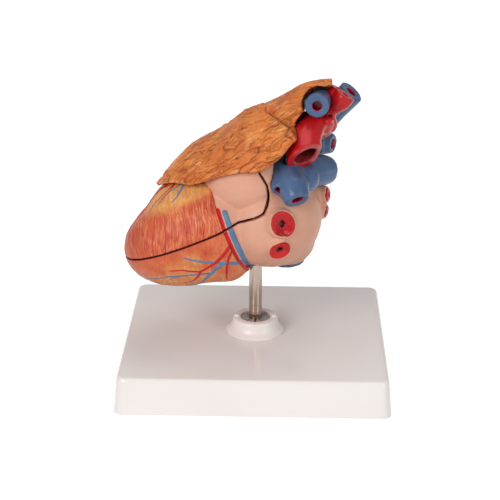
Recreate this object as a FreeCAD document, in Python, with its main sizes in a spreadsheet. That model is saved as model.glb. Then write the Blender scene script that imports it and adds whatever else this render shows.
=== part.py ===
import FreeCAD, Part
import math
import os
import Sketcher
from FreeCAD import Matrix, Placement, Rotation, Vector

# A life-size teaching model of the human heart on a rod and a square base.
# Millimetres.  +Z is up, +X is the back of the heart and -Y is its left side.
# The origin is the centre of the base's underside.

DOC = FreeCAD.newDocument("heart_model")
SHEET = DOC.addObject("Spreadsheet::Sheet", "sizes")

SIZES = {
    # Stand
    "base_width": 160.0,
    "base_depth": 150.0,
    "base_height": 22.2,
    "base_draft": 1.9,
    "base_corner": 6.0,
    "base_edge": 2.5,
    "base_wall": 3.0,
    "rib_thick": 2.5,
    "rib_height": 12.0,
    "base_boss": 30.0,
    "boss_drop": 5.0,
    "socket_foot": 36.0,
    "socket_skirt": 1.4,
    "socket_waist": 28.0,
    "socket_rim": 27.0,
    "socket_height": 9.5,
    "recess_width": 19.0,
    "recess_depth": 3.0,
    "socket_lug": 3.6,
    "lug_rise": 0.9,
    "neck_width": 14.0,
    "neck_play": 0.1,
    "neck_end": 1.5,
    "nut_flats": 22.0,
    "nut_height": 6.0,
    "washer_width": 24.0,
    "washer_thick": 1.5,
    "grip_ring_thick": 2.0,
    "grip_ring_fit": 0.05,
    "ring_slot": 1.2,
    "ring_slots": 8,
    # Rod and the bush that it enters
    "rod_width": 8.0,
    "rod_play": 0.05,
    "rod_end_gap": 0.2,
    "rod_nose": 0.8,
    "rod_show": 34.8,
    "rod_grip": 20.0,
    "rod_in_heart": 26.0,
    "bush_width": 13.0,
    "bush_cap": 2.0,
    "boss_width": 22.0,
    "boss_start": 3.0,
    "boss_cap": 3.0,
    "rod_way": 10.0,
    # Ventricles, in a frame that leans back with the heart
    "heart_pitch": 20.0,
    "apex_reach": 82.0,
    "apex_rise": 12.5,
    "vent_front": 60.5,
    "vent_back": 35.0,
    "vent_half_high": 35.2,
    "vent_half_wide": 42.0,
    "groove_at": 68.0,
    "left_chamber_wide": 15.0,
    "right_chamber_wide": 12.0,
    "septum": 6.0,
    # Atria: their shoulder round the groove, and their rooms
    "shoulder_drop": 1.0,
    "shoulder_lap": 2.0,
    "auricle_border": 7.0,
    "left_room_radius": 18.5,
    "right_room_radius": 13.0,
    "right_room_rise": 20.0,
    # Split between the heart and its front wall
    "seam_gap": 0.55,
    "pin_width": 4.0,
    "pin_play": 0.3,
    "pin_depth": 9.0,
    "pin_stand": 6.0,
    # Vessels
    "aorta_radius": 12.0,
    "branch_radius": 6.2,
    "trunk_radius": 11.5,
    "cava_radius": 7.8,
    "cross_vein_radius": 8.0,
    "lower_cava_radius": 10.0,
    "vessel_wall": 2.6,
    "arch_wall": 4.5,
    "trunk_bore_wall": 3.5,
    "vein_disc": 8.3,
    "vein_disc_small": 6.4,
    "vein_rim": 1.3,
    "vein_hole": 1.8,
    "hole_depth": 7.0,
    # Thymus
    "thymus_pitch": 32.0,
    "thymus_thick": 9.5,
    "thymus_gap": 0.4,
    "thymus_swing": 1.0,
    "peg_width": 4.0,
    "peg_depth": 8.0,
    "peg_stand": 5.0,
    "lobe_step": 1.6,
    "lobe_flank": 4.0,
    # Valves
    "mitral_radius": 11.0,
    "tricuspid_radius": 11.5,
    "valve_ring_high": 3.0,
    "leaflet_thick": 1.0,
    "leaflet_drop": 12.0,
    "cusp_drop": 7.0,
    "chord_radius": 0.5,
    "muscle_radius": 4.5,
}

for row, (name, value) in enumerate(SIZES.items(), start=1):
    SHEET.set("A%d" % row, name)
    SHEET.set("B%d" % row, str(value))
    SHEET.setAlias("B%d" % row, name)
DOC.recompute()


def size(name):
    """One driving dimension, read from the sheet."""
    return float(getattr(SHEET, name))


PIECES = []
UP = Vector(0, 0, 1)
SIDE = Vector(0, 1, 0)
SEAT = "(sizes.base_height + sizes.socket_height + sizes.rod_show)"
heart_seat = size("base_height") + size("socket_height") + size("rod_show")


def piece(name, shape):
    """A casting, whose shape is worked out here, as an object of the document."""
    if len(shape.Solids) == 1:
        shape = shape.Solids[0]
    thing = DOC.addObject("Part::Feature", name)
    thing.Label = name
    thing.Shape = shape
    thing.Placement = Placement()
    PIECES.append(thing)
    return thing


def new_body(name):
    thing = DOC.addObject("PartDesign::Body", name)
    thing.Label = name
    PIECES.append(thing)
    return thing


def sketch_on(owner, name, role, lift=None):
    """An empty sketch on an origin plane of its body, lifted by an expression."""
    sketch = owner.newObject("Sketcher::SketchObject", name)
    plane = [f for f in owner.Origin.OriginFeatures if f.Role == role][0]
    sketch.AttachmentSupport = [(plane, "")]
    sketch.MapMode = "FlatFace"
    if lift:
        sketch.setExpression(".AttachmentOffset.Base.z", lift)
    return sketch


def rule(sketch, text, *terms):
    """A dimension of the sketch that follows an expression."""
    index = sketch.addConstraint(Sketcher.Constraint(*terms))
    sketch.setExpression("Constraints[%d]" % index, text)


def circle(sketch, diameter, x=0.0, y=0.0):
    index = sketch.addGeometry(Part.Circle(Vector(x, y, 0), UP, 5), False)
    rule(sketch, "(%s) / 2" % diameter, "Radius", index, 5.0)
    return index


def rectangle(sketch, width, depth):
    """A rectangle centred on the sketch's origin; both sizes are expressions."""
    corners = [Vector(-9, -8, 0), Vector(9, -8, 0), Vector(9, 8, 0), Vector(-9, 8, 0)]
    for i in range(4):
        sketch.addGeometry(Part.LineSegment(corners[i], corners[(i + 1) % 4]), False)
    for i in range(4):
        sketch.addConstraint(Sketcher.Constraint("Coincident", i, 2, (i + 1) % 4, 1))
        kind = "Horizontal" if i % 2 == 0 else "Vertical"
        sketch.addConstraint(Sketcher.Constraint(kind, i))
    sketch.addConstraint(Sketcher.Constraint("Symmetric", 0, 1, 1, 2, -1, 1))
    rule(sketch, width, "DistanceX", 0, 1, 0, 2, 18.0)
    rule(sketch, depth, "DistanceY", 1, 1, 1, 2, 16.0)


def outline(sketch, points):
    """A closed run of lines, whose corners follow pairs of expressions."""
    count = len(points)
    # Rough places with the right order keep the solver on the right branch.
    rough = [Vector(x, y, 0) for x, y, *_ in points]
    for i in range(count):
        sketch.addGeometry(Part.LineSegment(rough[i], rough[(i + 1) % count]), False)
    for i in range(count):
        sketch.addConstraint(Sketcher.Constraint("Coincident", i, 2, (i + 1) % count, 1))
    for i, (x, y, text_x, text_y) in enumerate(points):
        rule(sketch, text_x, "DistanceX", -1, 1, i, 1, x)
        rule(sketch, text_y, "DistanceY", -1, 1, i, 1, y)


def pad(owner, name, sketch, length):
    feature = owner.newObject("PartDesign::Pad", name)
    feature.Profile = sketch
    feature.setExpression("Length", length)
    return feature


def pocket(owner, name, sketch, length, upward):
    feature = owner.newObject("PartDesign::Pocket", name)
    feature.Profile = sketch
    feature.Reversed = upward
    feature.setExpression("Length", length)
    return feature


def edges_where(shape, test):
    return ["Edge%d" % (i + 1) for i, edge in enumerate(shape.Edges) if test(edge)]


# ---------------------------------------------------------------- stand

# The base is a hollow moulding: a tapered block with a thin wall, cross ribs
# and a boss under its middle.
base = new_body("base_plate")
sketch = sketch_on(base, "base_outline", "XY_Plane")
rectangle(sketch, "sizes.base_width + 2 * sizes.base_draft",
          "sizes.base_depth + 2 * sizes.base_draft")
block = pad(base, "base_block", sketch, "sizes.base_height")
block.setExpression("TaperAngle", "-atan(sizes.base_draft / sizes.base_height)")
DOC.recompute()
corners = base.newObject("PartDesign::Fillet", "base_corners")
corners.Base = (block, edges_where(block.Shape, lambda e: e.BoundBox.ZLength > 1))
corners.setExpression("Radius", "sizes.base_corner")
DOC.recompute()
top_z = size("base_height")
edge_round = base.newObject("PartDesign::Fillet", "base_top_edge")
edge_round.Base = (corners, edges_where(corners.Shape, lambda e: e.BoundBox.ZMin > top_z - 0.01))
edge_round.setExpression("Radius", "sizes.base_edge")
DOC.recompute()
sketch = sketch_on(base, "hollow_outline", "XY_Plane")
rectangle(sketch, "sizes.base_width - 2 * sizes.base_wall",
          "sizes.base_depth - 2 * sizes.base_wall")
pocket(base, "hollow", sketch, "sizes.base_height - sizes.base_wall", True)
RIB_FOOT = "sizes.base_height - sizes.base_wall - sizes.rib_height"
sketch = sketch_on(base, "rib_across_outline", "XY_Plane", RIB_FOOT)
rectangle(sketch, "sizes.base_width - sizes.base_wall", "sizes.rib_thick")
pad(base, "rib_across", sketch, "sizes.rib_height + sizes.base_wall / 2")
sketch = sketch_on(base, "rib_along_outline", "XY_Plane", RIB_FOOT)
rectangle(sketch, "sizes.rib_thick", "sizes.base_depth - sizes.base_wall")
pad(base, "rib_along", sketch, "sizes.rib_height + sizes.base_wall / 2")
BOSS_FOOT = "(sizes.base_height - sizes.base_wall - sizes.boss_drop)"
sketch = sketch_on(base, "boss_outline", "XY_Plane", BOSS_FOOT)
circle(sketch, "sizes.base_boss")
pad(base, "boss", sketch, "sizes.boss_drop + sizes.base_wall / 2")
sketch = sketch_on(base, "nut_room_outline", "XY_Plane")
circle(sketch, "sizes.base_boss")
pocket(base, "nut_room", sketch, BOSS_FOOT, True)
sketch = sketch_on(base, "neck_hole_outline", "XY_Plane")
circle(sketch, "sizes.neck_width + 2 * sizes.neck_play")
pocket(base, "neck_hole", sketch, "sizes.base_height + 1", True)
DOC.recompute()

# The socket is a bell that stands on the base; its neck goes through the base
# and is drawn down by the nut and washer.
NECK_FOOT = "(%s - sizes.washer_thick - sizes.nut_height - sizes.neck_end)" % BOSS_FOOT
SOCKET_TOP = "(sizes.base_height + sizes.socket_height)"
socket = new_body("rod_socket")
sketch = sketch_on(socket, "socket_profile", "XZ_Plane")
ROD_HOLE = "(sizes.rod_width / 2 + sizes.rod_play)"
ROD_FOOT = "(%s - sizes.rod_grip)" % SOCKET_TOP
outline(sketch, [
    (0.0, 5.0, "0", NECK_FOOT),
    (7.0, 5.0, "sizes.neck_width / 2", NECK_FOOT),
    (7.0, 22.2, "sizes.neck_width / 2", "sizes.base_height"),
    (18.0, 22.2, "sizes.socket_foot / 2", "sizes.base_height"),
    (18.0, 23.6, "sizes.socket_foot / 2", "sizes.base_height + sizes.socket_skirt"),
    (14.6, 26.4, "sizes.socket_waist / 2 + 0.6",
     "sizes.base_height + 0.45 * sizes.socket_height"),
    (13.6, 29.6, "sizes.socket_rim / 2 + 0.1", "sizes.base_height + 0.8 * sizes.socket_height"),
    (13.0, 31.7, "sizes.socket_rim / 2 - 0.5", SOCKET_TOP),
    (9.5, 31.7, "sizes.recess_width / 2", SOCKET_TOP),
    (9.5, 28.7, "sizes.recess_width / 2", "%s - sizes.recess_depth" % SOCKET_TOP),
    (4.05, 28.7, ROD_HOLE, "%s - sizes.recess_depth" % SOCKET_TOP),
    (4.05, 11.5, ROD_HOLE, "%s - sizes.rod_end_gap" % ROD_FOOT),
    (0.0, 11.5, "0", "%s - sizes.rod_end_gap" % ROD_FOOT),
])
turned = socket.newObject("PartDesign::Revolution", "socket_turned")
turned.Profile = sketch
turned.ReferenceAxis = (sketch, ["V_Axis"])
turned.Angle = 360
DOC.recompute()
sketch = sketch_on(socket, "lug_outline", "XY_Plane", "%s - 2 * sizes.lug_rise" % SOCKET_TOP)
for sign in (-1, 1):
    lug = circle(sketch, "sizes.socket_lug", sign * 11.5)
    edge = "(sizes.recess_width + sizes.socket_rim) / 4"
    rule(sketch, "%d * %s" % (sign, edge), "DistanceX", -1, 1, lug, 3, sign * 11.5)
    sketch.addConstraint(Sketcher.Constraint("PointOnObject", lug, 3, -1))
pad(socket, "lugs", sketch, "3 * sizes.lug_rise")

# A slotted ring lies in the socket's recess and grips the rod.
ring = new_body("rod_grip_ring")
RING_FOOT = "(%s - sizes.recess_depth)" % SOCKET_TOP
sketch = sketch_on(ring, "ring_outline", "XY_Plane", RING_FOOT)
circle(sketch, "sizes.recess_width - 2 * sizes.grip_ring_fit")
circle(sketch, "sizes.rod_width + 2 * sizes.rod_play")
pad(ring, "ring_disc", sketch, "sizes.grip_ring_thick")
DOC.recompute()
sketch = sketch_on(ring, "slot_outline", "XY_Plane", RING_FOOT)
outline(sketch, [
    (3.0, -0.6, "sizes.rod_width / 2 - 1", "-sizes.ring_slot / 2"),
    (7.5, -0.6, "(sizes.rod_width + sizes.recess_width) / 4 + 1", "-sizes.ring_slot / 2"),
    (7.5, 0.6, "(sizes.rod_width + sizes.recess_width) / 4 + 1", "sizes.ring_slot / 2"),
    (3.0, 0.6, "sizes.rod_width / 2 - 1", "sizes.ring_slot / 2"),
])
slot = pocket(ring, "slot", sketch, "sizes.grip_ring_thick + 1", True)
DOC.recompute()
slots = ring.newObject("PartDesign::PolarPattern", "slots")
slots.Originals = [slot]
slots.Axis = (sketch, ["N_Axis"])
slots.Angle = 360
slots.setExpression("Occurrences", "sizes.ring_slots")
ring.Tip = slots
DOC.recompute()

washer = new_body("socket_washer")
sketch = sketch_on(washer, "washer_outline", "XY_Plane",
                   "%s - sizes.washer_thick" % BOSS_FOOT)
circle(sketch, "sizes.washer_width")
circle(sketch, "sizes.neck_width + 2 * sizes.neck_play")
pad(washer, "washer_disc", sketch, "sizes.washer_thick")

nut = new_body("socket_nut")
sketch = sketch_on(nut, "nut_outline", "XY_Plane",
                   "%s - sizes.washer_thick - sizes.nut_height" % BOSS_FOOT)
hexagon = []
for i in range(6):
    turn = math.radians(60 * i + 30)
    across = "sizes.nut_flats / sqrt(3)"
    hexagon.append((11.5 * math.cos(turn), 11.5 * math.sin(turn),
                    "%s * cos(%d deg)" % (across, 60 * i + 30),
                    "%s * sin(%d deg)" % (across, 60 * i + 30)))
outline(sketch, hexagon)
circle(sketch, "sizes.neck_width + 2 * sizes.neck_play")
pad(nut, "nut_block", sketch, "sizes.nut_height")

# The steel rod stands in the socket and enters the heart's bush.
ROD_LENGTH = "(sizes.rod_grip + sizes.rod_show + sizes.rod_in_heart)"
rod = new_body("support_rod")
sketch = sketch_on(rod, "rod_outline", "XY_Plane", ROD_FOOT)
circle(sketch, "sizes.rod_width")
bar = pad(rod, "rod_bar", sketch, ROD_LENGTH)
DOC.recompute()
noses = rod.newObject("PartDesign::Chamfer", "rod_noses")
noses.Base = (bar, edges_where(bar.Shape, lambda e: e.BoundBox.ZLength < 0.01))
noses.setExpression("Size", "sizes.rod_nose")

bush = new_body("rod_bush")
BUSH_FOOT = "(%s + sizes.boss_start)" % SEAT
sketch = sketch_on(bush, "bush_outline", "XY_Plane", BUSH_FOOT)
circle(sketch, "sizes.bush_width")
BUSH_HOLE = "(sizes.rod_in_heart - sizes.boss_start + sizes.rod_end_gap)"
pad(bush, "bush_tube", sketch, "%s + sizes.bush_cap" % BUSH_HOLE)
DOC.recompute()
sketch = sketch_on(bush, "bush_bore_outline", "XY_Plane", BUSH_FOOT)
circle(sketch, "sizes.rod_width + 2 * sizes.rod_play")
pocket(bush, "bush_bore", sketch, BUSH_HOLE, True)
DOC.recompute()

# ---------------------------------------------------------------- solids for the castings


def place(x, y, z):
    """A point measured from where the rod enters the heart."""
    return Vector(x, y, z + heart_seat)


pitch = math.radians(size("heart_pitch"))
LONG = Vector(math.cos(pitch), 0, math.sin(pitch))
RISE = Vector(-math.sin(pitch), 0, math.cos(pitch))


def along(length, side, rise):
    """A point in the leaning frame: along the heart's axis, sideways and out of its front."""
    start = place(-size("apex_reach"), 0, size("apex_rise"))
    return start + LONG * length + SIDE * side + RISE * rise


def stretched(ball, centre, first, second, third):
    """A unit ball whose three axes become the given vectors."""
    frame = Matrix(first.x, second.x, third.x, centre.x,
                   first.y, second.y, third.y, centre.y,
                   first.z, second.z, third.z, centre.z,
                   0, 0, 0, 1)
    return ball.transformGeometry(frame)


def egg(x, y, z, half_x, half_y, half_z, grow=0.0):
    """An upright ellipsoid, its poles fore and aft and its seam towards the middle."""
    inward = -1 if y > 0 else 1
    return stretched(Part.makeSphere(1.0), place(x, y, z),
                     Vector(0, inward * (half_y + grow), 0),
                     Vector(0, 0, inward * (half_z + grow)), Vector(half_x + grow, 0, 0))


def side_egg(x, y, z, half_x, half_y, half_z):
    """An upright ellipsoid, its poles left and right and its seam at the back."""
    return stretched(Part.makeSphere(1.0), place(x, y, z), Vector(half_x, 0, 0),
                     Vector(0, 0, -half_z), Vector(0, half_y, 0))


def leaning_egg(length, side, rise, half_long, half_wide, half_high):
    """An ellipsoid in the leaning frame."""
    return stretched(Part.makeSphere(1.0), along(length, side, rise), LONG * half_long,
                     SIDE * half_wide, RISE * half_high)


def beyond(point, normal, reach=220.0):
    """All the space on one side of a plane, as far as the model reaches."""
    return Part.makeCylinder(reach, reach, point, normal)


def tube(points, radii):
    """A smooth round solid through a short list of centres and radii."""
    spine = Part.BSplineCurve()
    spine.interpolate(points)
    knots = [spine.parameter(point) for point in points]
    wires = []
    across = None
    for knot, radius in zip(knots, radii):
        ahead = spine.tangent(knot)[0]
        if across is None:
            across = ahead.cross(Vector(0.31, 0.2, 0.93))
        across = (across - ahead * across.dot(ahead)).normalize()
        turn = Rotation(across, ahead.cross(across), ahead, "ZXY")
        ring_wire = Part.Wire(Part.makeCircle(radius))
        ring_wire.Placement = Placement(spine.value(knot), turn)
        wires.append(ring_wire)
    return Part.makeLoft(wires, True, False)


def fused(shapes):
    return shapes[0].multiFuse(shapes[1:]) if len(shapes) > 1 else shapes[0]


def carved(shape, cutters):
    """A shape with the cutters taken away one after another."""
    for cutter in cutters:
        shape = shape.cut(cutter)
    return shape


def largest(shape):
    """The main solid, without crumbs that a cut leaves."""
    return max(shape.Solids, key=lambda solid: solid.Volume)


# ---------------------------------------------------------------- ventricles


def ventricle_mass(grow=0.0):
    """Two half ellipsoids that share their widest section; the axis bends to the left."""
    axis = LONG + SIDE * 0.155 + RISE * 0.04
    centre = along(62, -2, -2.6)
    halves = []
    for sign, reach in ((-1, size("vent_front")), (1, size("vent_back"))):
        ball = Part.makeSphere(1.0)
        keep = Part.makeBox(2, 4, 4, Vector(-2 if sign < 0 else 0, -2, -2))
        halves.append(stretched(ball.common(keep), centre, axis * (reach + grow),
                                SIDE * (size("vent_half_wide") + grow),
                                RISE * (size("vent_half_high") + grow)))
    return halves[0].fuse(halves[1])


groove = along(size("groove_at"), 0, 0)
ventricles = carved(ventricle_mass(), [beyond(groove, LONG)])
half_septum = size("septum") / 2
left_wide = size("left_chamber_wide")
right_wide = size("right_chamber_wide")
left_y = -half_septum - left_wide + 1
right_y = half_septum + right_wide + 1
left_chamber = leaning_egg(44, left_y, -8, 34, left_wide, 17)
right_chamber = leaning_egg(46, right_y, -1, 26, right_wide, 22)

# Channels: left ventricle to aorta, right ventricle to the pulmonary trunk.
left_outflow = tube([place(-27.5, -13, 31), place(-10, -6, 37), place(3, 0, 42),
                     place(13, 3, 51)], [7, 7.5, 8, 8.5])
right_outflow = tube([place(-39, 14, 45), place(-22, 5, 56), place(-6, -7, 63),
                      place(12, -12, 68)], [8, 8, 8, 8])

# ---------------------------------------------------------------- the split


def seam_height(x):
    """The seam climbs steadily from the apex to its bend."""
    return 42.7 + 0.421 * (x + 2)


def front_region(shift):
    """The space in front of the seam: a straight cut up from the apex, a bend, then up."""
    low_far = place(-120, 0, seam_height(-120))
    corner_in = place(-2, 0, seam_height(-2))
    bend_mid = place(5.4, 0, 46.4)
    bend_out = place(8.2, 0, 55)
    side_mid = place(7.2, 0, 62.5)
    side_out = place(3, 0, 69.6)
    over = place(-9, 0, 92)
    roof = place(-9, 0, 150)
    roof_far = place(-120, 0, 150)
    edges = [
        Part.LineSegment(low_far, corner_in).toShape(),
        Part.Arc(corner_in, bend_mid, bend_out).toShape(),
        Part.Arc(bend_out, side_mid, side_out).toShape(),
        Part.LineSegment(side_out, over).toShape(),
        Part.LineSegment(over, roof).toShape(),
        Part.LineSegment(roof, roof_far).toShape(),
        Part.LineSegment(roof_far, low_far).toShape(),
    ]
    face = Part.Face(Part.Wire(edges))
    face.translate(Vector(0, -100, 0) + shift)
    return face.extrude(Vector(0, 200, 0))


gap = size("seam_gap")
in_front = front_region(Vector(0, 0, 0))
front_side = front_region(Vector(-gap, 0, 0.72 * gap))

# ---------------------------------------------------------------- atria and auricles

LEFT_AURICLE = (-5, -11, 61, 29, 27, 26)
RIGHT_AURICLE = (-6, 22, 57, 24, 17, 24)
left_auricle_mass = egg(*LEFT_AURICLE)
right_auricle_mass = egg(*RIGHT_AURICLE)
LEFT_ATRIUM = (8, -6, 34.5, 32, 36.5, 31)
RIGHT_ATRIUM = (8, 22, 37.5, 28, 21, 33)
left_atrium_mass = egg(*LEFT_ATRIUM)
right_atrium_mass = egg(*RIGHT_ATRIUM)
cava_lobe = egg(19, 16, 17.5, 19, 20, 24)
# The ventricles' swell runs on under the atria, so that there is no deep groove.
shoulder = carved(ventricle_mass(-size("shoulder_drop")),
                  [beyond(groove - LONG * size("shoulder_lap"), LONG * -1)])
border = place(0, size("auricle_border"), 0)
upper_stub = side_egg(31.5, 1, 46, 11.5, 7, 6.8)
lower_stub = side_egg(31.5, 2, 34.4, 11, 6.5, 6)
boss_radius = size("boss_width") / 2
boss_top = size("rod_in_heart") + size("rod_end_gap") + size("bush_cap") + size("boss_cap")
rod_boss = Part.makeCylinder(boss_radius, boss_top - size("boss_start"),
                             place(0, 0, size("boss_start")))
# The bush's hole goes on below it, so that the rod comes in freely.
bush_room = Part.makeCylinder(size("bush_width") / 2,
                              boss_top - size("boss_cap") + size("rod_way"),
                              place(0, 0, -size("rod_way")))

left_atrium_room = Part.makeSphere(size("left_room_radius"), place(13, -14, 33))
room_radius = size("right_room_radius")
room_foot = place(12, 23, 27)
room_head = room_foot + UP * size("right_room_rise")
right_atrium_room = fused([Part.makeSphere(room_radius, room_foot),
                           Part.makeCylinder(room_radius, size("right_room_rise"), room_foot, UP),
                           Part.makeSphere(room_radius, room_head)])

mitral_at = along(size("groove_at"), -17, -13)
tricuspid_at = along(size("groove_at"), 17, -13)
mitral_radius = size("mitral_radius")
tricuspid_radius = size("tricuspid_radius")
left_inlet = Part.makeCylinder(mitral_radius - 1.5, 36, mitral_at - LONG * 12, LONG)
right_inlet = Part.makeCylinder(tricuspid_radius - 1.5, 32, tricuspid_at - LONG * 12, LONG)
ring_high = size("valve_ring_high")
mitral_seat = Part.makeCylinder(mitral_radius + 1, ring_high, mitral_at, LONG)
tricuspid_seat = Part.makeCylinder(tricuspid_radius + 1, ring_high, tricuspid_at, LONG)
chambers = fused([left_chamber, right_chamber, left_atrium_room, right_atrium_room,
                  left_inlet, right_inlet])
chambers = carved(chambers, [rod_boss])
rooms = [chambers, left_outflow, right_outflow, mitral_seat, tricuspid_seat]

# ---------------------------------------------------------------- vessels


def unit(x, y, z):
    return Vector(x, y, z).normalize()


# Stops along each vessel, with how much slimmer than its radius it is at each.
RISING = [((13, 3, 47), 0.0), ((15, 6, 60), 0.0), ((19, 9, 73), 0.0), ((27, 9, 82), 1.0),
          ((37, 3, 89.5), 2.2)]
ARCH = [((41, 2, 91.5), 3.4), ((36, -6, 90.5), 2.7), ((31.5, -14, 87), 1.6),
        ((29.4, -22, 82), -0.2), ((29, -31, 75), -0.6)]
ELBOW = ((38.5, 2, 90.5), 2.4)
BRANCHES = [
    [((41, 0, 88), -0.4), ((46, -2, 98), 0.0), ((52.5, -3, 109), 0.2)],
    [((38, 2, 88), 0.4), ((42.5, 3, 99), 0.6), ((48.6, 4, 111), 0.8)],
    [((40, -6, 87), 0.6), ((43.5, -9, 93), 1.6), ((45.5, -11, 97.5), 2.2)],
]
TRUNK = [((-4, -8, 62), 0.5), ((7, -12, 66.5), 0.0), ((18, -14, 67), 0.0), ((30, -9, 63.5), 1.0),
         ((38, -3, 62), 1.9), ((43.3, 2, 60.5), 3.0)]
TRUNK_ARMS = [
    [((14, -13, 69), 0.2), ((19, -25, 66.5), 0.4), ((22.3, -36, 61.5), 2.0), ((25, -43, 56), 4.2)],
    [((16, -24, 66), 4.0), ((14.5, -32, 63.5), 6.0), ((14.2, -38, 60.8), 7.0)],
    [((18, -2, 70), 2.0), ((29, 7, 75), 3.0), ((39, 12, 75.5), 3.5), ((47, 13, 74), 5.8)],
]
CAVA = [((22, 26, 58), 0.0), ((33, 24, 77), 0.0), ((44, 20, 91), 0.0), ((57, 15, 106.5), 0.0)]
CROSS_VEIN = [((35.3, -18, 107), 0.0), ((36.5, -8, 106.5), 0.3), ((40, 6, 102), 0.5),
              ((46, 16, 95), 0.8)]
# Which way the cut ends face, and the radius of the hole in each.
AORTA_END, AORTA_FACE = place(29.2, -25.5, 79.6), unit(0.48, -0.69, -0.54)
BRANCH_FACES = [(unit(0.5, -0.1, 0.86), 1.8), (unit(0.45, 0.1, 0.88), 1.8),
                (unit(0.4, -0.4, 0.82), 1.8)]
ARM_FACES = [(unit(0.38, -0.72, -0.58), 3.2), (unit(-0.1, -0.9, -0.42), 2.2),
             (unit(0.97, 0.1, -0.2), 3.0)]
CAVA_FACE = (unit(0.64, -0.24, 0.73), 3.2)
CROSS_FACE = (unit(-0.1, -1, 0.05), 3.2)


def along_tube(stops, radius):
    return tube([place(*centre) for centre, _ in stops],
                [radius - slimmer for _, slimmer in stops])


def hole_in(stop, face):
    """A blind round hole drilled into a vessel's cut end."""
    outward, radius = face
    lead = 2.0
    return Part.makeCylinder(radius, size("hole_depth") + lead,
                             place(*stop[0]) + outward * lead, outward * -1)


def aorta_mass(grow=0.0):
    wide = size("aorta_radius") + grow
    centre, slimmer = ELBOW
    elbow = Part.makeSphere(wide - slimmer, place(*centre))
    return carved(fused([along_tube(RISING, wide), along_tube(ARCH, wide), elbow]),
                  [beyond(AORTA_END + AORTA_FACE * grow, AORTA_FACE)])


def branch_mass(grow=0.0):
    return fused([along_tube(stops, size("branch_radius") + grow) for stops in BRANCHES])


def trunk_mass(grow=0.0):
    return fused([along_tube(stops, size("trunk_radius") + grow) for stops in [TRUNK] + TRUNK_ARMS])


def cava_mass(grow=0.0):
    return along_tube(CAVA, size("cava_radius") + grow)


def cross_vein_mass(grow=0.0):
    return along_tube(CROSS_VEIN, size("cross_vein_radius") + grow)


wall = size("vessel_wall")
aorta_lumen = fused([
    along_tube([((13, 3, 40), 0.0)] + RISING[1:], size("aorta_radius") - wall),
    along_tube(ARCH, size("aorta_radius") - size("arch_wall"))])
trunk_lumen = along_tube([((-9, -9, 62), 0.0)] + TRUNK[1:3] + [((26, -11, 65), 0.0)],
                         size("trunk_radius") - size("trunk_bore_wall"))

aorta = carved(aorta_mass(), [in_front, aorta_lumen])
branch_holes = [hole_in(stops[-1], face) for stops, face in zip(BRANCHES, BRANCH_FACES)]
branches = largest(carved(branch_mass(), [aorta_mass()] + branch_holes))
arm_holes = [hole_in(stops[-1], face) for stops, face in zip(TRUNK_ARMS, ARM_FACES)]
trunk = largest(carved(trunk_mass(), [in_front, trunk_lumen, aorta_mass()] + arm_holes))
cava = largest(carved(cava_mass(), [trunk_mass(), aorta_mass(), branch_mass(),
                                    hole_in(CAVA[-1], CAVA_FACE)]))
cross_vein = largest(carved(cross_vein_mass(), [cava_mass(), aorta_mass(), branch_mass(),
                                                hole_in(CROSS_VEIN[0], CROSS_FACE)]))

lower_cava = Part.makeCylinder(size("lower_cava_radius"), 14, place(20.5, 16.5, -4.5),
                               unit(-0.1, -0.05, 1))
lower_cava_bore = Part.makeCylinder(size("lower_cava_radius") - wall, 26,
                                    place(20.5, 16.5, -6), unit(-0.1, -0.05, 1))

# Pulmonary veins: short inserts whose ends stand out of the atria.
LEFT_VEINS = [
    (place(17, -44, 41.8), unit(0.42, -0.88, 0.12), size("vein_disc")),
    (place(15, -42.5, 24.5), unit(0.08, -0.9, -0.42), size("vein_disc_small")),
]
RIGHT_VEINS = [
    (place(44.2, 0, 46), unit(0.95, -0.28, 0.1), 5.2),
    (place(43.6, 1, 34.4), unit(0.96, -0.25, -0.1), 4.6),
]
rim = size("vein_rim")
vein_hole = size("vein_hole")


def vein_plug(at, out, radius):
    insert = Part.makeCylinder(radius - rim, 9, at - out * 9, out)
    hole = Part.makeCylinder(vein_hole * radius / size("vein_disc"), 6, at + out, out * -1)
    return insert.cut(hole)


def vein_collar(at, out, radius):
    return Part.makeCone(radius + 1.5, radius, 9, at - out * 9.6, out)


left_plugs = [vein_plug(*vein) for vein in LEFT_VEINS]
right_plugs = [vein_plug(*vein) for vein in RIGHT_VEINS]
plug_rooms = [Part.makeCylinder(radius - rim, 9, at - out * 9, out)
              for at, out, radius in LEFT_VEINS + RIGHT_VEINS]
collars = [vein_collar(*vein) for vein in LEFT_VEINS + RIGHT_VEINS]

# ---------------------------------------------------------------- heart and front wall

lift_way = unit(-0.643, 0, 0.766)
PIN_FEET = [place(x, y, seam_height(x)) for x, y in ((-62, 6), (-28, -37), (-28, 33))]
pin_radius = size("pin_width") / 2
pin_rooms = [Part.makeCylinder(pin_radius, size("pin_depth") + size("pin_stand"),
                               foot - lift_way * size("pin_depth"), lift_way)
             for foot in PIN_FEET]
pin_holes = [Part.makeCylinder(pin_radius + size("pin_play"),
                               size("pin_stand") + 4, foot - lift_way * 3, lift_way)
             for foot in PIN_FEET]

vessels_out = [aorta_mass(), trunk_mass(), cava_mass()]
heart_back = carved(ventricles, [in_front, bush_room] + rooms + pin_rooms)
front_wall = carved(ventricles.common(front_side), rooms + pin_holes)
front_wall = largest(front_wall)
heart_back = largest(heart_back)

left_mass = fused([left_auricle_mass, left_atrium_mass, shoulder.cut(beyond(border, SIDE))])
right_mass = fused([right_auricle_mass, right_atrium_mass,
                    shoulder.cut(beyond(border, SIDE * -1))])
left_auricle = carved(left_mass.common(front_side),
                      [ventricles, right_outflow, left_outflow, chambers] + pin_holes)
left_auricle = largest(left_auricle)
right_auricle = carved(right_mass.common(front_side),
                       [ventricles, left_mass, right_outflow, left_outflow, chambers] + pin_holes)
right_auricle = largest(right_auricle)

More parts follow.
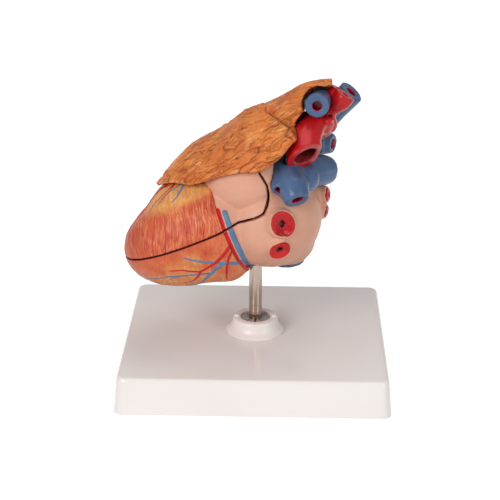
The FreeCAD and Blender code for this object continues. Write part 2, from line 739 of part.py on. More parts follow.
atria = fused([left_atrium_mass, right_atrium_mass, cava_lobe, shoulder, left_auricle_mass,
               right_auricle_mass, upper_stub, lower_stub, rod_boss] + collars)
atria = carved(atria, vessels_out + [in_front, ventricles, bush_room, lower_cava,
                                     lower_cava_bore] + rooms + plug_rooms + pin_rooms)
atria = largest(atria)
lower_cava = carved(lower_cava, [lower_cava_bore])

# ---------------------------------------------------------------- thymus

thymus_pitch = math.radians(size("thymus_pitch"))
THYMUS_LONG = Vector(math.cos(thymus_pitch), 0, math.sin(thymus_pitch))
THYMUS_RISE = Vector(-math.sin(thymus_pitch), 0, math.cos(thymus_pitch))
THYMUS_TIP = place(-59, 0, 51.5)
THYMUS_DEEP = 35.0
# Along the gland: how far along, how high its crest is, and its half width.
THYMUS_STATIONS = [(-8, 34.2, 27), (6, 37, 32), (20, 42, 38), (42, 43.4, 44), (68, 44.2, 46),
                   (86, 43, 41), (107, 41.6, 30), (122, 37, 21), (131, 30, 15)]


def thymus_shell(inset, lift=0.0, flank=0.0):
    """A long vault over the front of the heart, with an inset for its inner side."""
    wires = []
    for reach, crest, wide in THYMUS_STATIONS:
        drop = inset * (1 - 0.28 * max(0, reach - 60) / 60)
        high = crest + lift - drop
        half = wide + flank - drop
        centre = THYMUS_TIP + THYMUS_LONG * reach - THYMUS_RISE * THYMUS_DEEP
        if high >= half:
            oval = Part.Ellipse(centre + THYMUS_RISE * high, centre + SIDE * half, centre)
        else:
            oval = Part.Ellipse(centre + SIDE * half, centre + THYMUS_RISE * high, centre)
        wires.append(Part.Wire(oval.toShape()))
    return Part.makeLoft(wires, True, False)


LOOK = Vector(0, -0.935, 0.354)


def seen_prism(points, near, far):
    """A side outline swept along the slant on which the gland's edges lie."""
    corners = [place(x, 0, z) - LOOK * far for x, z in points]
    face = Part.Face(Part.makePolygon(corners + corners[:1]))
    return face.extrude(LOOK * (near + far))


NEAR_LOBE = [(-59.5, 50), (-49, 51.5), (-38, 49.5), (-33, 50.5), (-26, 53.5), (-8, 56.5),
             (-1, 56.5), (5, 58.5), (14, 66.5), (20, 73.5), (24, 79.5), (23, 85.5), (19, 88.5),
             (6, 99), (-4, 130), (-70, 130), (-66, 60)]
FAR_LOBE = [(-30, 62), (5, 60), (14, 67), (22.5, 84), (23.5, 90), (28, 96.5), (28.8, 102),
            (30.5, 107), (34.5, 110.6), (40, 112.3), (44.5, 113), (46, 135), (-30, 135)]
thymus_outer_near = thymus_shell(0.0, size("lobe_step"), size("lobe_flank"))
thymus_outer_far = thymus_shell(0.0)
thymus = fused([thymus_outer_near.common(seen_prism(NEAR_LOBE, 60, 4)),
                thymus_outer_far.common(seen_prism(FAR_LOBE, 20, 60))])
clear = size("thymus_gap")
# Beside steep sides the thymus needs more room, so that it lifts off freely.
swing = size("thymus_swing")
PEG_FEET = [along(50, -8, 33), along(64, 8, 33.5)]
peg_radius = size("peg_width") / 2
peg_length = size("peg_depth") + size("peg_stand")
pegs = [Part.makeCylinder(peg_radius, peg_length, foot - THYMUS_RISE * size("peg_depth"),
                          THYMUS_RISE) for foot in PEG_FEET]
peg_holes = [Part.makeCylinder(peg_radius + size("pin_play"), peg_length + 2,
                               foot - THYMUS_RISE * (size("peg_depth") + 1), THYMUS_RISE)
             for foot in PEG_FEET]
front_wall = largest(carved(front_wall, peg_holes))
left_auricle = largest(carved(left_auricle, peg_holes))
right_auricle = largest(carved(right_auricle, peg_holes))
cross_end, cross_out = place(*CROSS_VEIN[0][0]), CROSS_FACE[0]
cross_end_room = Part.makeCylinder(size("cross_vein_radius") + swing, 2 * swing + 1,
                                   cross_end - cross_out, cross_out)
thymus = carved(thymus, pegs + [thymus_shell(size("thymus_thick")), ventricle_mass(clear),
                         egg(*LEFT_AURICLE, clear), egg(*RIGHT_AURICLE, swing),
                         egg(*LEFT_ATRIUM, clear), egg(*RIGHT_ATRIUM, swing),
                         aorta_mass(clear), branch_mass(clear), cava_mass(clear),
                         cross_vein_mass(swing), trunk_mass(clear), cross_end_room])
thymus = largest(thymus)

# ---------------------------------------------------------------- valves


def inflow_valve(at, radius):
    """A ring at the groove with a funnel of leaflets that hangs into the ventricle."""
    thick = size("leaflet_thick")
    hang = size("leaflet_drop")
    wide = radius - 1.6
    tip = 0.5 * radius
    seat = Part.makeCylinder(radius + 1, ring_high, at, LONG)
    skin = Part.makeCone(wide, tip, hang, at, LONG * -1)
    throat = Part.makeCone(wide - thick, tip - thick, hang, at, LONG * -1)
    hole = Part.makeCylinder(wide - thick, ring_high, at, LONG)
    return carved(seat.fuse(skin), [throat, hole, in_front])


def outflow_valve(at, out, radius):
    """A ring with three cusps that close towards the artery."""
    thick = size("leaflet_thick")
    rise = size("cusp_drop")
    collar = Part.makeCylinder(radius, 2.5, at, out)
    top = at + out * 2.5
    skin = Part.makeCone(radius, 2.5, rise, top, out)
    throat = Part.makeCone(radius - thick, 2.5 - thick, rise, top, out)
    hole = Part.makeCylinder(radius - thick, 2.5, at, out)
    across = out.cross(SIDE).normalize()
    slits = []
    for i in range(3):
        slit = Part.makeBox(radius + 1, 0.6, rise + 2)
        slit.translate(Vector(1.6, -0.3, 0))
        heading = Rotation(out, 120 * i).multVec(across)
        turn = Rotation(heading, out.cross(heading), out, "ZXY")
        slit.Placement = Placement(top + out * 1.5, turn).multiply(slit.Placement)
        slits.append(slit)
    return carved(collar.fuse(skin), [throat, hole, in_front] + slits)


def muscle(foot, tip):
    """A finger of heart muscle that stands up from the chamber's wall."""
    radius = size("muscle_radius")
    shaft = tip - foot
    trunk_part = Part.makeCone(radius, 0.4 * radius, shaft.Length, foot, shaft)
    return trunk_part.fuse(Part.makeSphere(0.4 * radius, tip))


def cords(tips, at, radius, angles):
    """Tendons that run from each muscle's tip to the hem of the leaflets."""
    hem = at - LONG * (size("leaflet_drop") - 0.6)
    reach = 0.5 * radius - 0.2
    made = []
    for tip, turns in zip(tips, angles):
        for turn in turns:
            angle = math.radians(turn)
            end = hem + SIDE * (reach * math.cos(angle)) + RISE * (reach * math.sin(angle))
            made.append(Part.makeCylinder(size("chord_radius"), (end - tip).Length, tip, end - tip))
    return made


mitral_valve = largest(inflow_valve(mitral_at, mitral_radius))
tricuspid_valve = largest(inflow_valve(tricuspid_at, tricuspid_radius))
aortic_valve = carved(outflow_valve(place(13.6, 3.8, 51), unit(0.13, 0.2, 0.97), 9.2),
                      [aorta, atria])
pulmonary_valve = carved(outflow_valve(place(9, -12.6, 66.8), unit(0.95, -0.2, 0.2), 8.6),
                         [trunk])
left_muscle_ends = [(along(28, -25, -22), along(47, -21, -16)),
                    (along(28, -9, -23), along(47, -13, -17))]
right_muscle_ends = [(along(34, 22, -22), along(50, 20, -15)),
                     (along(34, 11, -22), along(50, 13, -16))]
left_muscles = [muscle(*ends).cut(heart_back) for ends in left_muscle_ends]
right_muscles = [muscle(*ends).cut(heart_back) for ends in right_muscle_ends]
left_cords = cords([ends[1] for ends in left_muscle_ends], mitral_at, mitral_radius,
                   [(180, 215, 250), (0, 325, 290)])
right_cords = cords([ends[1] for ends in right_muscle_ends], tricuspid_at, tricuspid_radius,
                    [(0, 325, 290), (180, 215, 250)])
left_cords = [largest(cord.cut(left_muscles + [mitral_valve])) for cord in left_cords]
right_cords = [largest(cord.cut(right_muscles + [tricuspid_valve])) for cord in right_cords]
left_muscles = [largest(one) for one in left_muscles]
right_muscles = [largest(one) for one in right_muscles]


def pin_group(name, feet, way, depth, stand, width):
    """Steel pins, all alike, as one group of cylinders that follow the sheet."""
    members = []
    for i, foot in enumerate(feet):
        pin = DOC.addObject("Part::Cylinder", "%s_%d" % (name, i + 1))
        pin.setExpression("Radius", "sizes.%s / 2" % width)
        pin.setExpression("Height", "sizes.%s + sizes.%s" % (depth, stand))
        pin.Placement = Placement(foot - way * size(depth), Rotation(UP, way))
        members.append(pin)
    group = DOC.addObject("Part::Compound", name)
    group.Label = name
    group.Links = members
    PIECES.append(group)


# ---------------------------------------------------------------- write-out

pin_group("wall_pins", PIN_FEET, lift_way, "pin_depth", "pin_stand", "pin_width")
pin_group("thymus_pegs", PEG_FEET, THYMUS_RISE, "peg_depth", "peg_stand", "peg_width")
piece("mitral_valve", mitral_valve)
piece("tricuspid_valve", tricuspid_valve)
piece("aortic_valve", aortic_valve)
piece("pulmonary_valve", pulmonary_valve)
piece("left_papillary_muscles", Part.makeCompound(left_muscles))
piece("right_papillary_muscles", Part.makeCompound(right_muscles))
piece("left_chordae", Part.makeCompound(left_cords))
piece("right_chordae", Part.makeCompound(right_cords))

piece("ventricles_back", heart_back)
piece("atria", atria)
piece("front_wall", front_wall)
piece("left_auricle", left_auricle)
piece("right_auricle", right_auricle)
piece("aorta", largest(aorta))
piece("arch_branches", branches)
piece("pulmonary_artery", trunk)
piece("superior_vena_cava", cava)
piece("left_brachiocephalic_vein", cross_vein)
piece("inferior_vena_cava", lower_cava)
piece("left_pulmonary_veins", Part.makeCompound(left_plugs))
piece("right_pulmonary_veins", Part.makeCompound(right_plugs))
piece("thymus", thymus)

DOC.recompute()
os.makedirs("parts", exist_ok=True)
for thing in DOC.Objects:
    if any(word in thing.State for word in ("Invalid", "Error")):
        raise RuntimeError("failed object: %s %s" % (thing.Name, thing.State))
for thing in PIECES:
    shape = thing.Shape
    if shape.isNull() or not shape.isValid():
        raise RuntimeError("bad shape: %s" % thing.Label)
for thing in PIECES:
    thing.Shape.exportStep("parts/%s.step" % thing.Label)
    box = thing.Shape.BoundBox
    print("%-28s %2d solids %9.0f mm3  z %6.1f..%6.1f" % (
        thing.Label, len(thing.Shape.Solids), thing.Shape.Volume, box.ZMin, box.ZMax))
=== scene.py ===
import math

import bmesh
import bpy
import numpy as np
from mathutils import Matrix, Vector, noise
from mathutils.bvhtree import BVHTree
from mathutils.kdtree import KDTree


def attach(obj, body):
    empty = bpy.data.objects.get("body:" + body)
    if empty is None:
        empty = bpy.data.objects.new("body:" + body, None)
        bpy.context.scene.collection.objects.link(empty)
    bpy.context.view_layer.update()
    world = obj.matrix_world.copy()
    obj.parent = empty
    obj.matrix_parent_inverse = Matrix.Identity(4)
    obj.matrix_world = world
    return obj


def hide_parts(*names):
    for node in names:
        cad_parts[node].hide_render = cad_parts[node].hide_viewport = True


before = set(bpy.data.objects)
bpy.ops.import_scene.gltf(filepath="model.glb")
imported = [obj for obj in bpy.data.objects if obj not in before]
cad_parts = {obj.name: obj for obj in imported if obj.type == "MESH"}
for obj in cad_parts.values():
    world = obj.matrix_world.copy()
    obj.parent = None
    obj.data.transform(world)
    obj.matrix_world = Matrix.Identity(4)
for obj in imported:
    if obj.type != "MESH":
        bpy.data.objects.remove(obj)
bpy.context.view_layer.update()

scene = bpy.context.scene

# ------------------------------------------------------------ camera and studio
# The camera stands in front of the heart's left side and looks down a little,
# at a point just above the place where the rod enters the heart.
TARGET = Vector((-0.0035658, 0.0, 0.0756396))
DISTANCE = 0.923579
SENSOR_WIDTH, LENS = 36.0, 107.886
AZIMUTH, ELEVATION, ROLL = (math.radians(turn) for turn in (1.36958, 20.7117, 0.312736))
camera = bpy.data.objects.new("camera", bpy.data.cameras.new("camera"))
camera.data.sensor_width = SENSOR_WIDTH
camera.data.lens = LENS
camera.data.clip_start = 0.01
backward = Vector((math.sin(AZIMUTH) * math.cos(ELEVATION),
                   -math.cos(AZIMUTH) * math.cos(ELEVATION), math.sin(ELEVATION)))
level = (-backward).cross(Vector((0, 0, 1))).normalized()
upright = level.cross(-backward)
across = level * math.cos(ROLL) + upright * math.sin(ROLL)
above = upright * math.cos(ROLL) - level * math.sin(ROLL)
turned = Matrix((across, above, backward)).transposed().to_4x4()
camera.matrix_world = Matrix.Translation(TARGET + backward * DISTANCE) @ turned
scene.collection.objects.link(camera)
scene.camera = camera
scene.view_settings.view_transform = "Standard"


class Wire:
    """A socket of a node tree, on which sums can be written as they are spoken."""

    # A Mix node's sockets for its two colours, and the socket the mix comes out of.
    FIRST_COLOUR, SECOND_COLOUR, MIXED_COLOUR = 6, 7, 2

    def __init__(self, tree, socket):
        self.tree = tree
        self.socket = socket

    def make(self, kind, settings=None, sockets=None, out=0):
        """Any node: its settings first, then the values or links of its sockets."""
        node = self.tree.nodes.new(kind)
        for name, value in (settings or {}).items():
            setattr(node, name, value)
        for name, value in (sockets or {}).items():
            if isinstance(value, Wire):
                self.tree.links.new(value.socket, node.inputs[name])
            else:
                node.inputs[name].default_value = value
        return Wire(self.tree, node.outputs[out])

    def sum_of(self, operation, first, second):
        return self.make("ShaderNodeMath", {"operation": operation}, {0: first, 1: second})

    def __add__(self, other):
        return self.sum_of("ADD", self, other)

    def __radd__(self, other):
        return self.sum_of("ADD", other, self)

    def __sub__(self, other):
        return self.sum_of("SUBTRACT", self, other)

    def __rsub__(self, other):
        return self.sum_of("SUBTRACT", other, self)

    def __mul__(self, other):
        return self.sum_of("MULTIPLY", self, other)

    def __rmul__(self, other):
        return self.sum_of("MULTIPLY", other, self)

    def size(self):
        """The number without its sign."""
        return self.make("ShaderNodeMath", {"operation": "ABSOLUTE"}, {0: self})

    def least(self, other):
        return self.sum_of("MINIMUM", self, other)

    def most(self, other):
        return self.sum_of("MAXIMUM", self, other)

    def between(self, low, high):
        """0 below low and 1 above high, with a soft step between them."""
        return self.make("ShaderNodeMapRange", {"interpolation_type": "SMOOTHSTEP"},
                         {"Value": self, "From Min": low, "From Max": high})

    def blend(self, first, second):
        """The first colour where this is 0 and the second where it is 1."""
        return self.make("ShaderNodeMix", {"data_type": "RGBA"},
                         {"Factor": self, self.FIRST_COLOUR: first, self.SECOND_COLOUR: second},
                         self.MIXED_COLOUR)

    def noise(self, scale, detail=3.0, rough=0.5, bend=0.0):
        return self.make("ShaderNodeTexNoise", {},
                         {"Vector": self, "Scale": scale, "Detail": detail,
                          "Roughness": rough, "Distortion": bend})

    def part(self, axis):
        """One number of a place: 0 for x, 1 for y and 2 for z."""
        return self.make("ShaderNodeSeparateXYZ", {}, {"Vector": self}, axis)

    def stretched(self, scale, turn=(0.0, 0.0, 0.0)):
        """Places turned first and then stretched, for a pattern with a direction."""
        turned_round = self.make("ShaderNodeMapping", {}, {"Vector": self, "Rotation": turn})
        return self.make("ShaderNodeMapping", {}, {"Vector": turned_round, "Scale": scale})


def paint(red, green, blue):
    """A colour as it is mixed on screen, 0 to 255, turned into light."""
    shares = [part / 255 for part in (red, green, blue)]
    return tuple(part / 12.92 if part <= 0.04045 else ((part + 0.055) / 1.055) ** 2.4
                 for part in shares) + (1.0,)


class Finish:
    """A material that starts as one shader, with its constants set on that shader."""

    def __init__(self, name, **constants):
        self.material = bpy.data.materials.new(name)
        self.material.use_nodes = True
        self.tree = self.material.node_tree
        self.shader = self.tree.nodes["Principled BSDF"]
        for socket, value in constants.items():
            self.shader.inputs[socket.replace("_", " ")].default_value = value
        start = self.tree.nodes.new("ShaderNodeTexCoord")
        self.place = Wire(self.tree, start.outputs["Object"])

    def kept(self, name):
        """A number that each point of a casting keeps for its paint."""
        return self.place.make("ShaderNodeAttribute", {"attribute_name": name}, {}, "Fac")

    def feed(self, socket, wire):
        self.tree.links.new(wire.socket, self.shader.inputs[socket])

    def relief(self, height, depth, strength=1.0):
        """Fine relief, whose depth is in metres."""
        bump = self.place.make("ShaderNodeBump", {},
                               {"Height": height, "Distance": depth, "Strength": strength})
        self.feed("Normal", bump)


def grey(share):
    return (share, share, share, 1.0)


def ray_kinds(tree):
    """1 on rays from the camera, on mirrored rays and on rays that went through glass."""
    rays = tree.nodes.new("ShaderNodeLightPath")
    return [Wire(tree, rays.outputs[name])
            for name in ("Is Camera Ray", "Is Glossy Ray", "Is Transmission Ray")]


floor_mesh = bmesh.new()
bmesh.ops.create_grid(floor_mesh, x_segments=1, y_segments=1, size=30.0)
floor = bpy.data.objects.new("floor", bpy.data.meshes.new("floor"))
floor_mesh.to_mesh(floor.data)
floor_mesh.free()
scene.collection.objects.link(floor)
sheet_paper = Finish("studio_paper", Base_Color=grey(0.78), Roughness=0.9, Specular_IOR_Level=0.0,
                     Emission_Strength=1.0)
seen, mirrored, through = ray_kinds(sheet_paper.tree)
from_middle = sheet_paper.place.make("ShaderNodeVectorMath", {"operation": "LENGTH"},
                                     {0: sheet_paper.place}, "Value")
glow = from_middle.between(0.25, 1.2).blend(grey(0.56), grey(0.85))
sheet_paper.feed("Emission Color", seen.most(mirrored.most(through)).blend(grey(0.0), glow))
floor.data.materials.append(sheet_paper.material)

world = bpy.data.worlds.new("studio")
scene.world = world
world.use_nodes = True
air = world.node_tree.nodes["Background"]
seen, mirrored, through = ray_kinds(world.node_tree)
sky = mirrored.most(through).blend(grey(0.35), grey(0.4))
sky = seen.blend(sky, grey(1.0))
world.node_tree.links.new(sky.socket, air.inputs["Color"])


def softbox(name, place, wide, high, watts):
    """A flat rectangular lamp that faces the heart."""
    lamp = bpy.data.lights.new(name, "AREA")
    lamp.shape = "RECTANGLE"
    lamp.size = wide
    lamp.size_y = high
    lamp.energy = watts
    stand = bpy.data.objects.new(name, lamp)
    stand.location = place
    stand.rotation_euler = (Vector(place) - LIT_PLACE).to_track_quat("Z", "Y").to_euler()
    scene.collection.objects.link(stand)


LIT_PLACE = Vector((0, 0, 0.1))
softbox("key_light", (-0.75, -1.05, 0.75), 0.7, 0.7, 11.0)
softbox("fill_light", (0.95, -0.9, 0.5), 0.5, 0.8, 5.0)
softbox("top_light", (0.1, 0.25, 1.2), 0.8, 0.6, 2.5)

# ------------------------------------------------------------ base plate
# A hollow block moulded in glossy white plastic.  Its sides draw in a little
# towards the top, its corners and top edge are rounded, and two ribs cross
# below.  The place for a label is bare.
MM = 0.001
BASE_WIDE, BASE_DEEP, BASE_HIGH = 163.8 * MM, 153.8 * MM, 22.2 * MM
BASE_DRAFT, BASE_CORNER, BASE_EDGE, BASE_WALL = 1.9 * MM, 6.0 * MM, 2.2 * MM, 3.0 * MM


def show(name, shape, body, finish, nodes, angle=40.0):
    """Turns a worked shape into a piece, smooth-shaded but for its sharp edges."""
    mesh = bpy.data.meshes.new(name)
    shape.to_mesh(mesh)
    shape.free()
    piece = bpy.data.objects.new(name, mesh)
    scene.collection.objects.link(piece)
    mesh.polygons.foreach_set("use_smooth", [True] * len(mesh.polygons))
    mesh.set_sharp_from_angle(angle=math.radians(angle))
    mesh.materials.append(finish.material)
    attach(piece, body)
    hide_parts(*nodes)


def box_in(shape, low, high):
    """A box between two corners, added to a shape being worked; gives its corners."""
    middle = (Vector(low) + Vector(high)) / 2
    size = Vector(high) - Vector(low)
    return bmesh.ops.create_cube(shape, size=1.0, matrix=Matrix.Translation(middle)
                                 @ Matrix.Diagonal((*size, 1.0)))["verts"]


block = bmesh.new()
corners = box_in(block, (-BASE_WIDE / 2, -BASE_DEEP / 2, 0), (BASE_WIDE / 2, BASE_DEEP / 2, BASE_HIGH))
for corner in corners:
    if corner.co.z > BASE_HIGH / 2:
        corner.co.x -= math.copysign(BASE_DRAFT, corner.co.x)
        corner.co.y -= math.copysign(BASE_DRAFT, corner.co.y)
upright_edges = [e for e in block.edges if abs(e.verts[0].co.z - e.verts[1].co.z) > BASE_HIGH / 2]
bmesh.ops.bevel(block, geom=upright_edges, offset=BASE_CORNER, offset_type="OFFSET", segments=12,
                profile=0.5, affect="EDGES", material=-1)
top_edges = [e for e in block.edges if min(v.co.z for v in e.verts) > BASE_HIGH * 0.99]
bmesh.ops.bevel(block, geom=top_edges, offset=BASE_EDGE, offset_type="OFFSET", segments=6,
                profile=0.5, affect="EDGES", material=-1)
underside = [f for f in block.faces if f.normal.z < -0.9]
bmesh.ops.inset_region(block, faces=underside, thickness=BASE_WALL)
raised = bmesh.ops.extrude_face_region(block, geom=underside)["geom"]
bmesh.ops.delete(block, geom=underside, context="FACES_ONLY")
for corner in (item for item in raised if isinstance(item, bmesh.types.BMVert)):
    corner.co.z = BASE_HIGH - BASE_WALL
RIB_START, RIB_LOW, RIB_HALF = 15.0 * MM, 7.2 * MM, 1.25 * MM
rib_top = BASE_HIGH - BASE_WALL / 2
for side in (-1, 1):
    ends = sorted((side * RIB_START, side * (BASE_WIDE / 2 - BASE_WALL)))
    box_in(block, (ends[0], -RIB_HALF, RIB_LOW), (ends[1], RIB_HALF, rib_top))
for side in (-1, 1):
    ends = sorted((side * RIB_START, side * (BASE_DEEP / 2 - BASE_WALL)))
    box_in(block, (-RIB_HALF, ends[0], RIB_LOW), (RIB_HALF, ends[1], rib_top))

glossy_white = Finish("glossy_white_plastic", IOR=1.5, Coat_IOR=1.5)
cloud = glossy_white.place.noise(9.0, 2.0)
speck = glossy_white.place.noise(900.0, 2.0)
glossy_white.feed("Base Color", cloud.between(0.3, 0.7).blend(paint(234, 226, 223), paint(240, 234, 231)))
glossy_white.feed("Roughness", cloud * 0.05 + 0.1)
glossy_white.relief(glossy_white.place.noise(220.0, 3.0) + speck * 0.2, 0.00002, 0.6)
show("base_block", block, "stand", glossy_white, ["base_plate"], 30)

# ------------------------------------------------------------ rod socket, ring, washer and nut
# The socket is a turned bell of white plastic with a shallow recess and two
# small lugs on its rim.  Its neck goes through the base to a nut and washer.
TURN_STEPS = 96


def spun(profile, steps=TURN_STEPS):
    """A solid of revolution about the upright axis, from (radius, height) pairs in mm."""
    shape = bmesh.new()
    points = [shape.verts.new((radius * MM, 0, height * MM)) for radius, height in profile]
    lines = [shape.edges.new(pair) for pair in zip(points, points[1:])]
    bmesh.ops.spin(shape, geom=points + lines, cent=(0, 0, 0), axis=(0, 0, 1),
                   angle=math.tau, steps=steps, use_merge=True)
    bmesh.ops.remove_doubles(shape, verts=shape.verts, dist=1e-6)
    bmesh.ops.recalc_face_normals(shape, faces=shape.faces)
    return shape


SOCKET_SIDE = [(18.0, 22.3), (18.0, 23.3), (17.7, 23.7), (17.0, 24.1), (16.1, 24.8), (15.3, 25.8),
               (14.7, 27.0), (14.3, 28.4), (14.1, 29.8), (13.9, 30.8), (13.5, 31.4), (12.9, 31.7)]
SOCKET_INSIDE = [(9.8, 31.7), (9.5, 31.4), (9.5, 28.7), (4.1, 28.7), (4.1, 11.6), (0.0, 11.6)]
socket = spun([(0.0, 5.2), (7.0, 5.2), (7.0, 22.3)] + SOCKET_SIDE + SOCKET_INSIDE)
RIM_HIGH, LUG_OUT, LUG_DEEP, LUG_EDGE = 31.7 * MM, 11.6 * MM, 1.8 * MM, 0.3 * MM
LUG_FOOT_RADIUS, LUG_TOP_RADIUS = 1.8 * MM, 1.5 * MM
for side in (-1, 1):
    lug = bmesh.ops.create_cone(socket, cap_ends=True, segments=32, radius1=LUG_FOOT_RADIUS,
                                radius2=LUG_TOP_RADIUS, depth=LUG_DEEP,
                                matrix=Matrix.Translation((side * LUG_OUT, 0, RIM_HIGH)))
    tops = {e for v in lug["verts"] if v.co.z > RIM_HIGH + LUG_EDGE for e in v.link_edges
            if all(w.co.z > RIM_HIGH + LUG_EDGE for w in e.verts)}
    bmesh.ops.bevel(socket, geom=list(tops), offset=LUG_EDGE, offset_type="OFFSET", segments=3,
                    profile=0.5, affect="EDGES", material=-1)
milky_white = Finish("milky_white_plastic", IOR=1.48)
cloud = milky_white.place.noise(60.0, 2.0)
milky_white.feed("Base Color", cloud.between(0.3, 0.7).blend(paint(234, 225, 221), paint(240, 232, 229)))
milky_white.feed("Roughness", cloud * 0.1 + 0.26)
milky_white.relief(milky_white.place.noise(500.0, 2.0), 0.00002, 0.5)
show("socket_bell", socket, "stand", milky_white, ["rod_socket"], 35)

soft_grey = Finish("soft_grey_plastic", IOR=1.45)
cloud = soft_grey.place.noise(300.0, 2.0)
soft_grey.feed("Base Color", cloud.blend(paint(150, 140, 134), paint(172, 162, 156)))
soft_grey.feed("Roughness", cloud * 0.1 + 0.4)
soft_grey.relief(cloud, 0.00003, 0.5)


def finish_nodes(finish, *names):
    """A finish for pieces that keep the shape they have."""
    for name in names:
        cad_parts[name].data.materials.clear()
        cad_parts[name].data.materials.append(finish.material)


finish_nodes(soft_grey, "rod_grip_ring")

zinc = Finish("zinc_plated_steel", Metallic=1.0)
cloud = zinc.place.noise(400.0, 4.0)
zinc.feed("Base Color", cloud.blend(paint(150, 150, 152), paint(190, 190, 192)))
zinc.feed("Roughness", cloud * 0.2 + 0.25)
zinc.relief(zinc.place.noise(1500.0, 2.0), 0.00002, 0.5)
finish_nodes(zinc, "socket_washer", "socket_nut", "wall_pins", "thymus_pegs")

# ------------------------------------------------------------ support rod and bush
# A polished steel bar, ground lengthwise, with chamfered ends.  It stands in
# the socket and goes up into a brass-coloured bush that is cast into the heart.
ROD_RADIUS, ROD_FOOT, ROD_HEAD, ROD_NOSE = 4.0, 11.7, 92.5, 0.8
rod = spun([(0.0, ROD_FOOT), (ROD_RADIUS - ROD_NOSE, ROD_FOOT), (ROD_RADIUS, ROD_FOOT + ROD_NOSE),
            (ROD_RADIUS, ROD_HEAD - ROD_NOSE), (ROD_RADIUS - ROD_NOSE, ROD_HEAD), (0.0, ROD_HEAD)])
polished = Finish("polished_steel", Metallic=1.0)
grind = polished.place.stretched((2200.0, 2200.0, 12.0)).noise(1.0, 3.0)
stain = polished.place.noise(70.0, 3.0)
polished.feed("Base Color", stain.blend(paint(168, 150, 136), paint(186, 170, 158)))
polished.feed("Roughness", grind * 0.12 + 0.1)
polished.relief(grind, 0.000004, 0.5)
show("steel_rod", rod, "rod", polished, ["support_rod"], 30)

brass = Finish("turned_brass", Metallic=1.0)
rings = brass.place.stretched((30.0, 30.0, 2500.0)).noise(1.0, 2.0)
brass.feed("Base Color", rings.blend(paint(170, 140, 84), paint(196, 166, 104)))
brass.feed("Roughness", rings * 0.15 + 0.25)
brass.relief(rings, 0.00001, 0.5)
finish_nodes(brass, "rod_bush")

# ------------------------------------------------------------ ventricles and front wall
# Two castings in soft plastic, painted by hand: orange-red muscle with fine
# upright fibres, yellow fat, and the coronary vessels raised from the surface,
# arteries in red and veins in blue.  Pins hold the front wall on.

# Places on the heart are in mm from where the rod enters it, SEAT above the floor.
# LONG runs from the apex to the back, RISE square to that and up, SIDE to the right.
SEAT = np.array((0.0, 0.0, 66.5))
PITCH = math.radians(20)
LONG = np.array((math.cos(PITCH), 0.0, math.sin(PITCH)))
RISE = np.array((-math.sin(PITCH), 0.0, math.cos(PITCH)))
SIDE = np.array((0.0, 1.0, 0.0))
APEX_START = np.array((-82.0, 0.0, 12.5))
# The ventricles' axis lies a little to the left of LONG and below it, and is bent.
AXIS_MIDDLE, AXIS_SIDE, AXIS_DROP = 62.0, -2.0, -2.6
SIDE_BEND, RISE_BEND = 0.155, 0.04


def in_metres(place):
    """A place on the heart as Blender has it."""
    return Vector((place + SEAT) * MM)


def spots(piece):
    """Every point of a piece, as places on the heart."""
    flat = np.empty(len(piece.data.vertices) * 3, np.float32)
    piece.data.vertices.foreach_get("co", flat)
    return flat.reshape(-1, 3).astype(float) / MM - SEAT


def facings(piece):
    """Which way the surface faces at every point of a piece."""
    flat = np.empty(len(piece.data.vertices) * 3, np.float32)
    piece.data.vertex_normals.foreach_get("vector", flat)
    return flat.reshape(-1, 3).astype(float)


def move_to(piece, places):
    flat = ((places + SEAT) * MM).astype(np.float32).ravel()
    piece.data.vertices.foreach_set("co", flat)
    piece.data.update()


def keep(piece, name, values):
    """Keeps one number for each point of a casting, for its paint to read."""
    layer = piece.data.attributes.new(name, "FLOAT", "POINT")
    layer.data.foreach_set("value", np.asarray(values, np.float32))


def soft_step(low, high, values):
    """0 below low and 1 above high, with a soft step between them."""
    share = np.clip((values - low) / (high - low), 0, 1)
    return share * share * (3 - 2 * share)


def joined(nodes):
    """Merged copies of CAD nodes in one shape to be worked."""
    shape = bmesh.new()
    for node in nodes:
        shape.from_mesh(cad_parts[node].data)
    bmesh.ops.remove_doubles(shape, verts=shape.verts, dist=1e-6)
    return shape


def casting(name, nodes, grain, rounds, extra=None):
    """A casting from CAD nodes: merged, remeshed to an even grain in mm, and softened."""
    shape = joined(nodes)
    if extra is not None:
        shape.from_mesh(extra)
    mesh = bpy.data.meshes.new(name)
    shape.to_mesh(mesh)
    shape.free()
    mesh.materials.clear()
    piece = bpy.data.objects.new(name, mesh)
    scene.collection.objects.link(piece)
    even = piece.modifiers.new("even", "REMESH")
    even.mode = "VOXEL"
    even.voxel_size = grain * MM
    soft = piece.modifiers.new("soft", "SMOOTH")
    soft.factor = 0.5
    soft.iterations = rounds
    graph = bpy.context.evaluated_depsgraph_get()
    piece.data = bpy.data.meshes.new_from_object(piece.evaluated_get(graph))
    piece.data.name = name
    piece.modifiers.clear()
    piece.data.polygons.foreach_set("use_smooth", [True] * len(piece.data.polygons))
    return piece


def skin_of(nodes):
    """A search tree over the surfaces of CAD nodes, in metres."""
    shape = joined(nodes)
    tree = BVHTree.FromBMesh(shape)
    shape.free()
    return tree


ROOM_REACH = 6.0


def room_to(tree, places):
    """How far each place, in mm, is from a surface, up to ROOM_REACH."""
    found = [tree.find_nearest(in_metres(place), ROOM_REACH * MM) for place in places]
    return np.array([ROOM_REACH if hit[3] is None else hit[3] / MM for hit in found])


def axis_at(length):
    """A place on the ventricles' bent axis, at a length from the apex."""
    past = length - AXIS_MIDDLE
    return (APEX_START + LONG * length + SIDE * (AXIS_SIDE + SIDE_BEND * past)
            + RISE * (AXIS_DROP + RISE_BEND * past))


def round_heart(places):
    """Each place's length from the apex and its angle round the heart, as in on_skin."""
    off = places - APEX_START
    length = off @ LONG
    side = places @ SIDE - (AXIS_SIDE + SIDE_BEND * (length - AXIS_MIDDLE))
    return length, np.degrees(np.arctan2(off @ RISE - AXIS_DROP, -side))


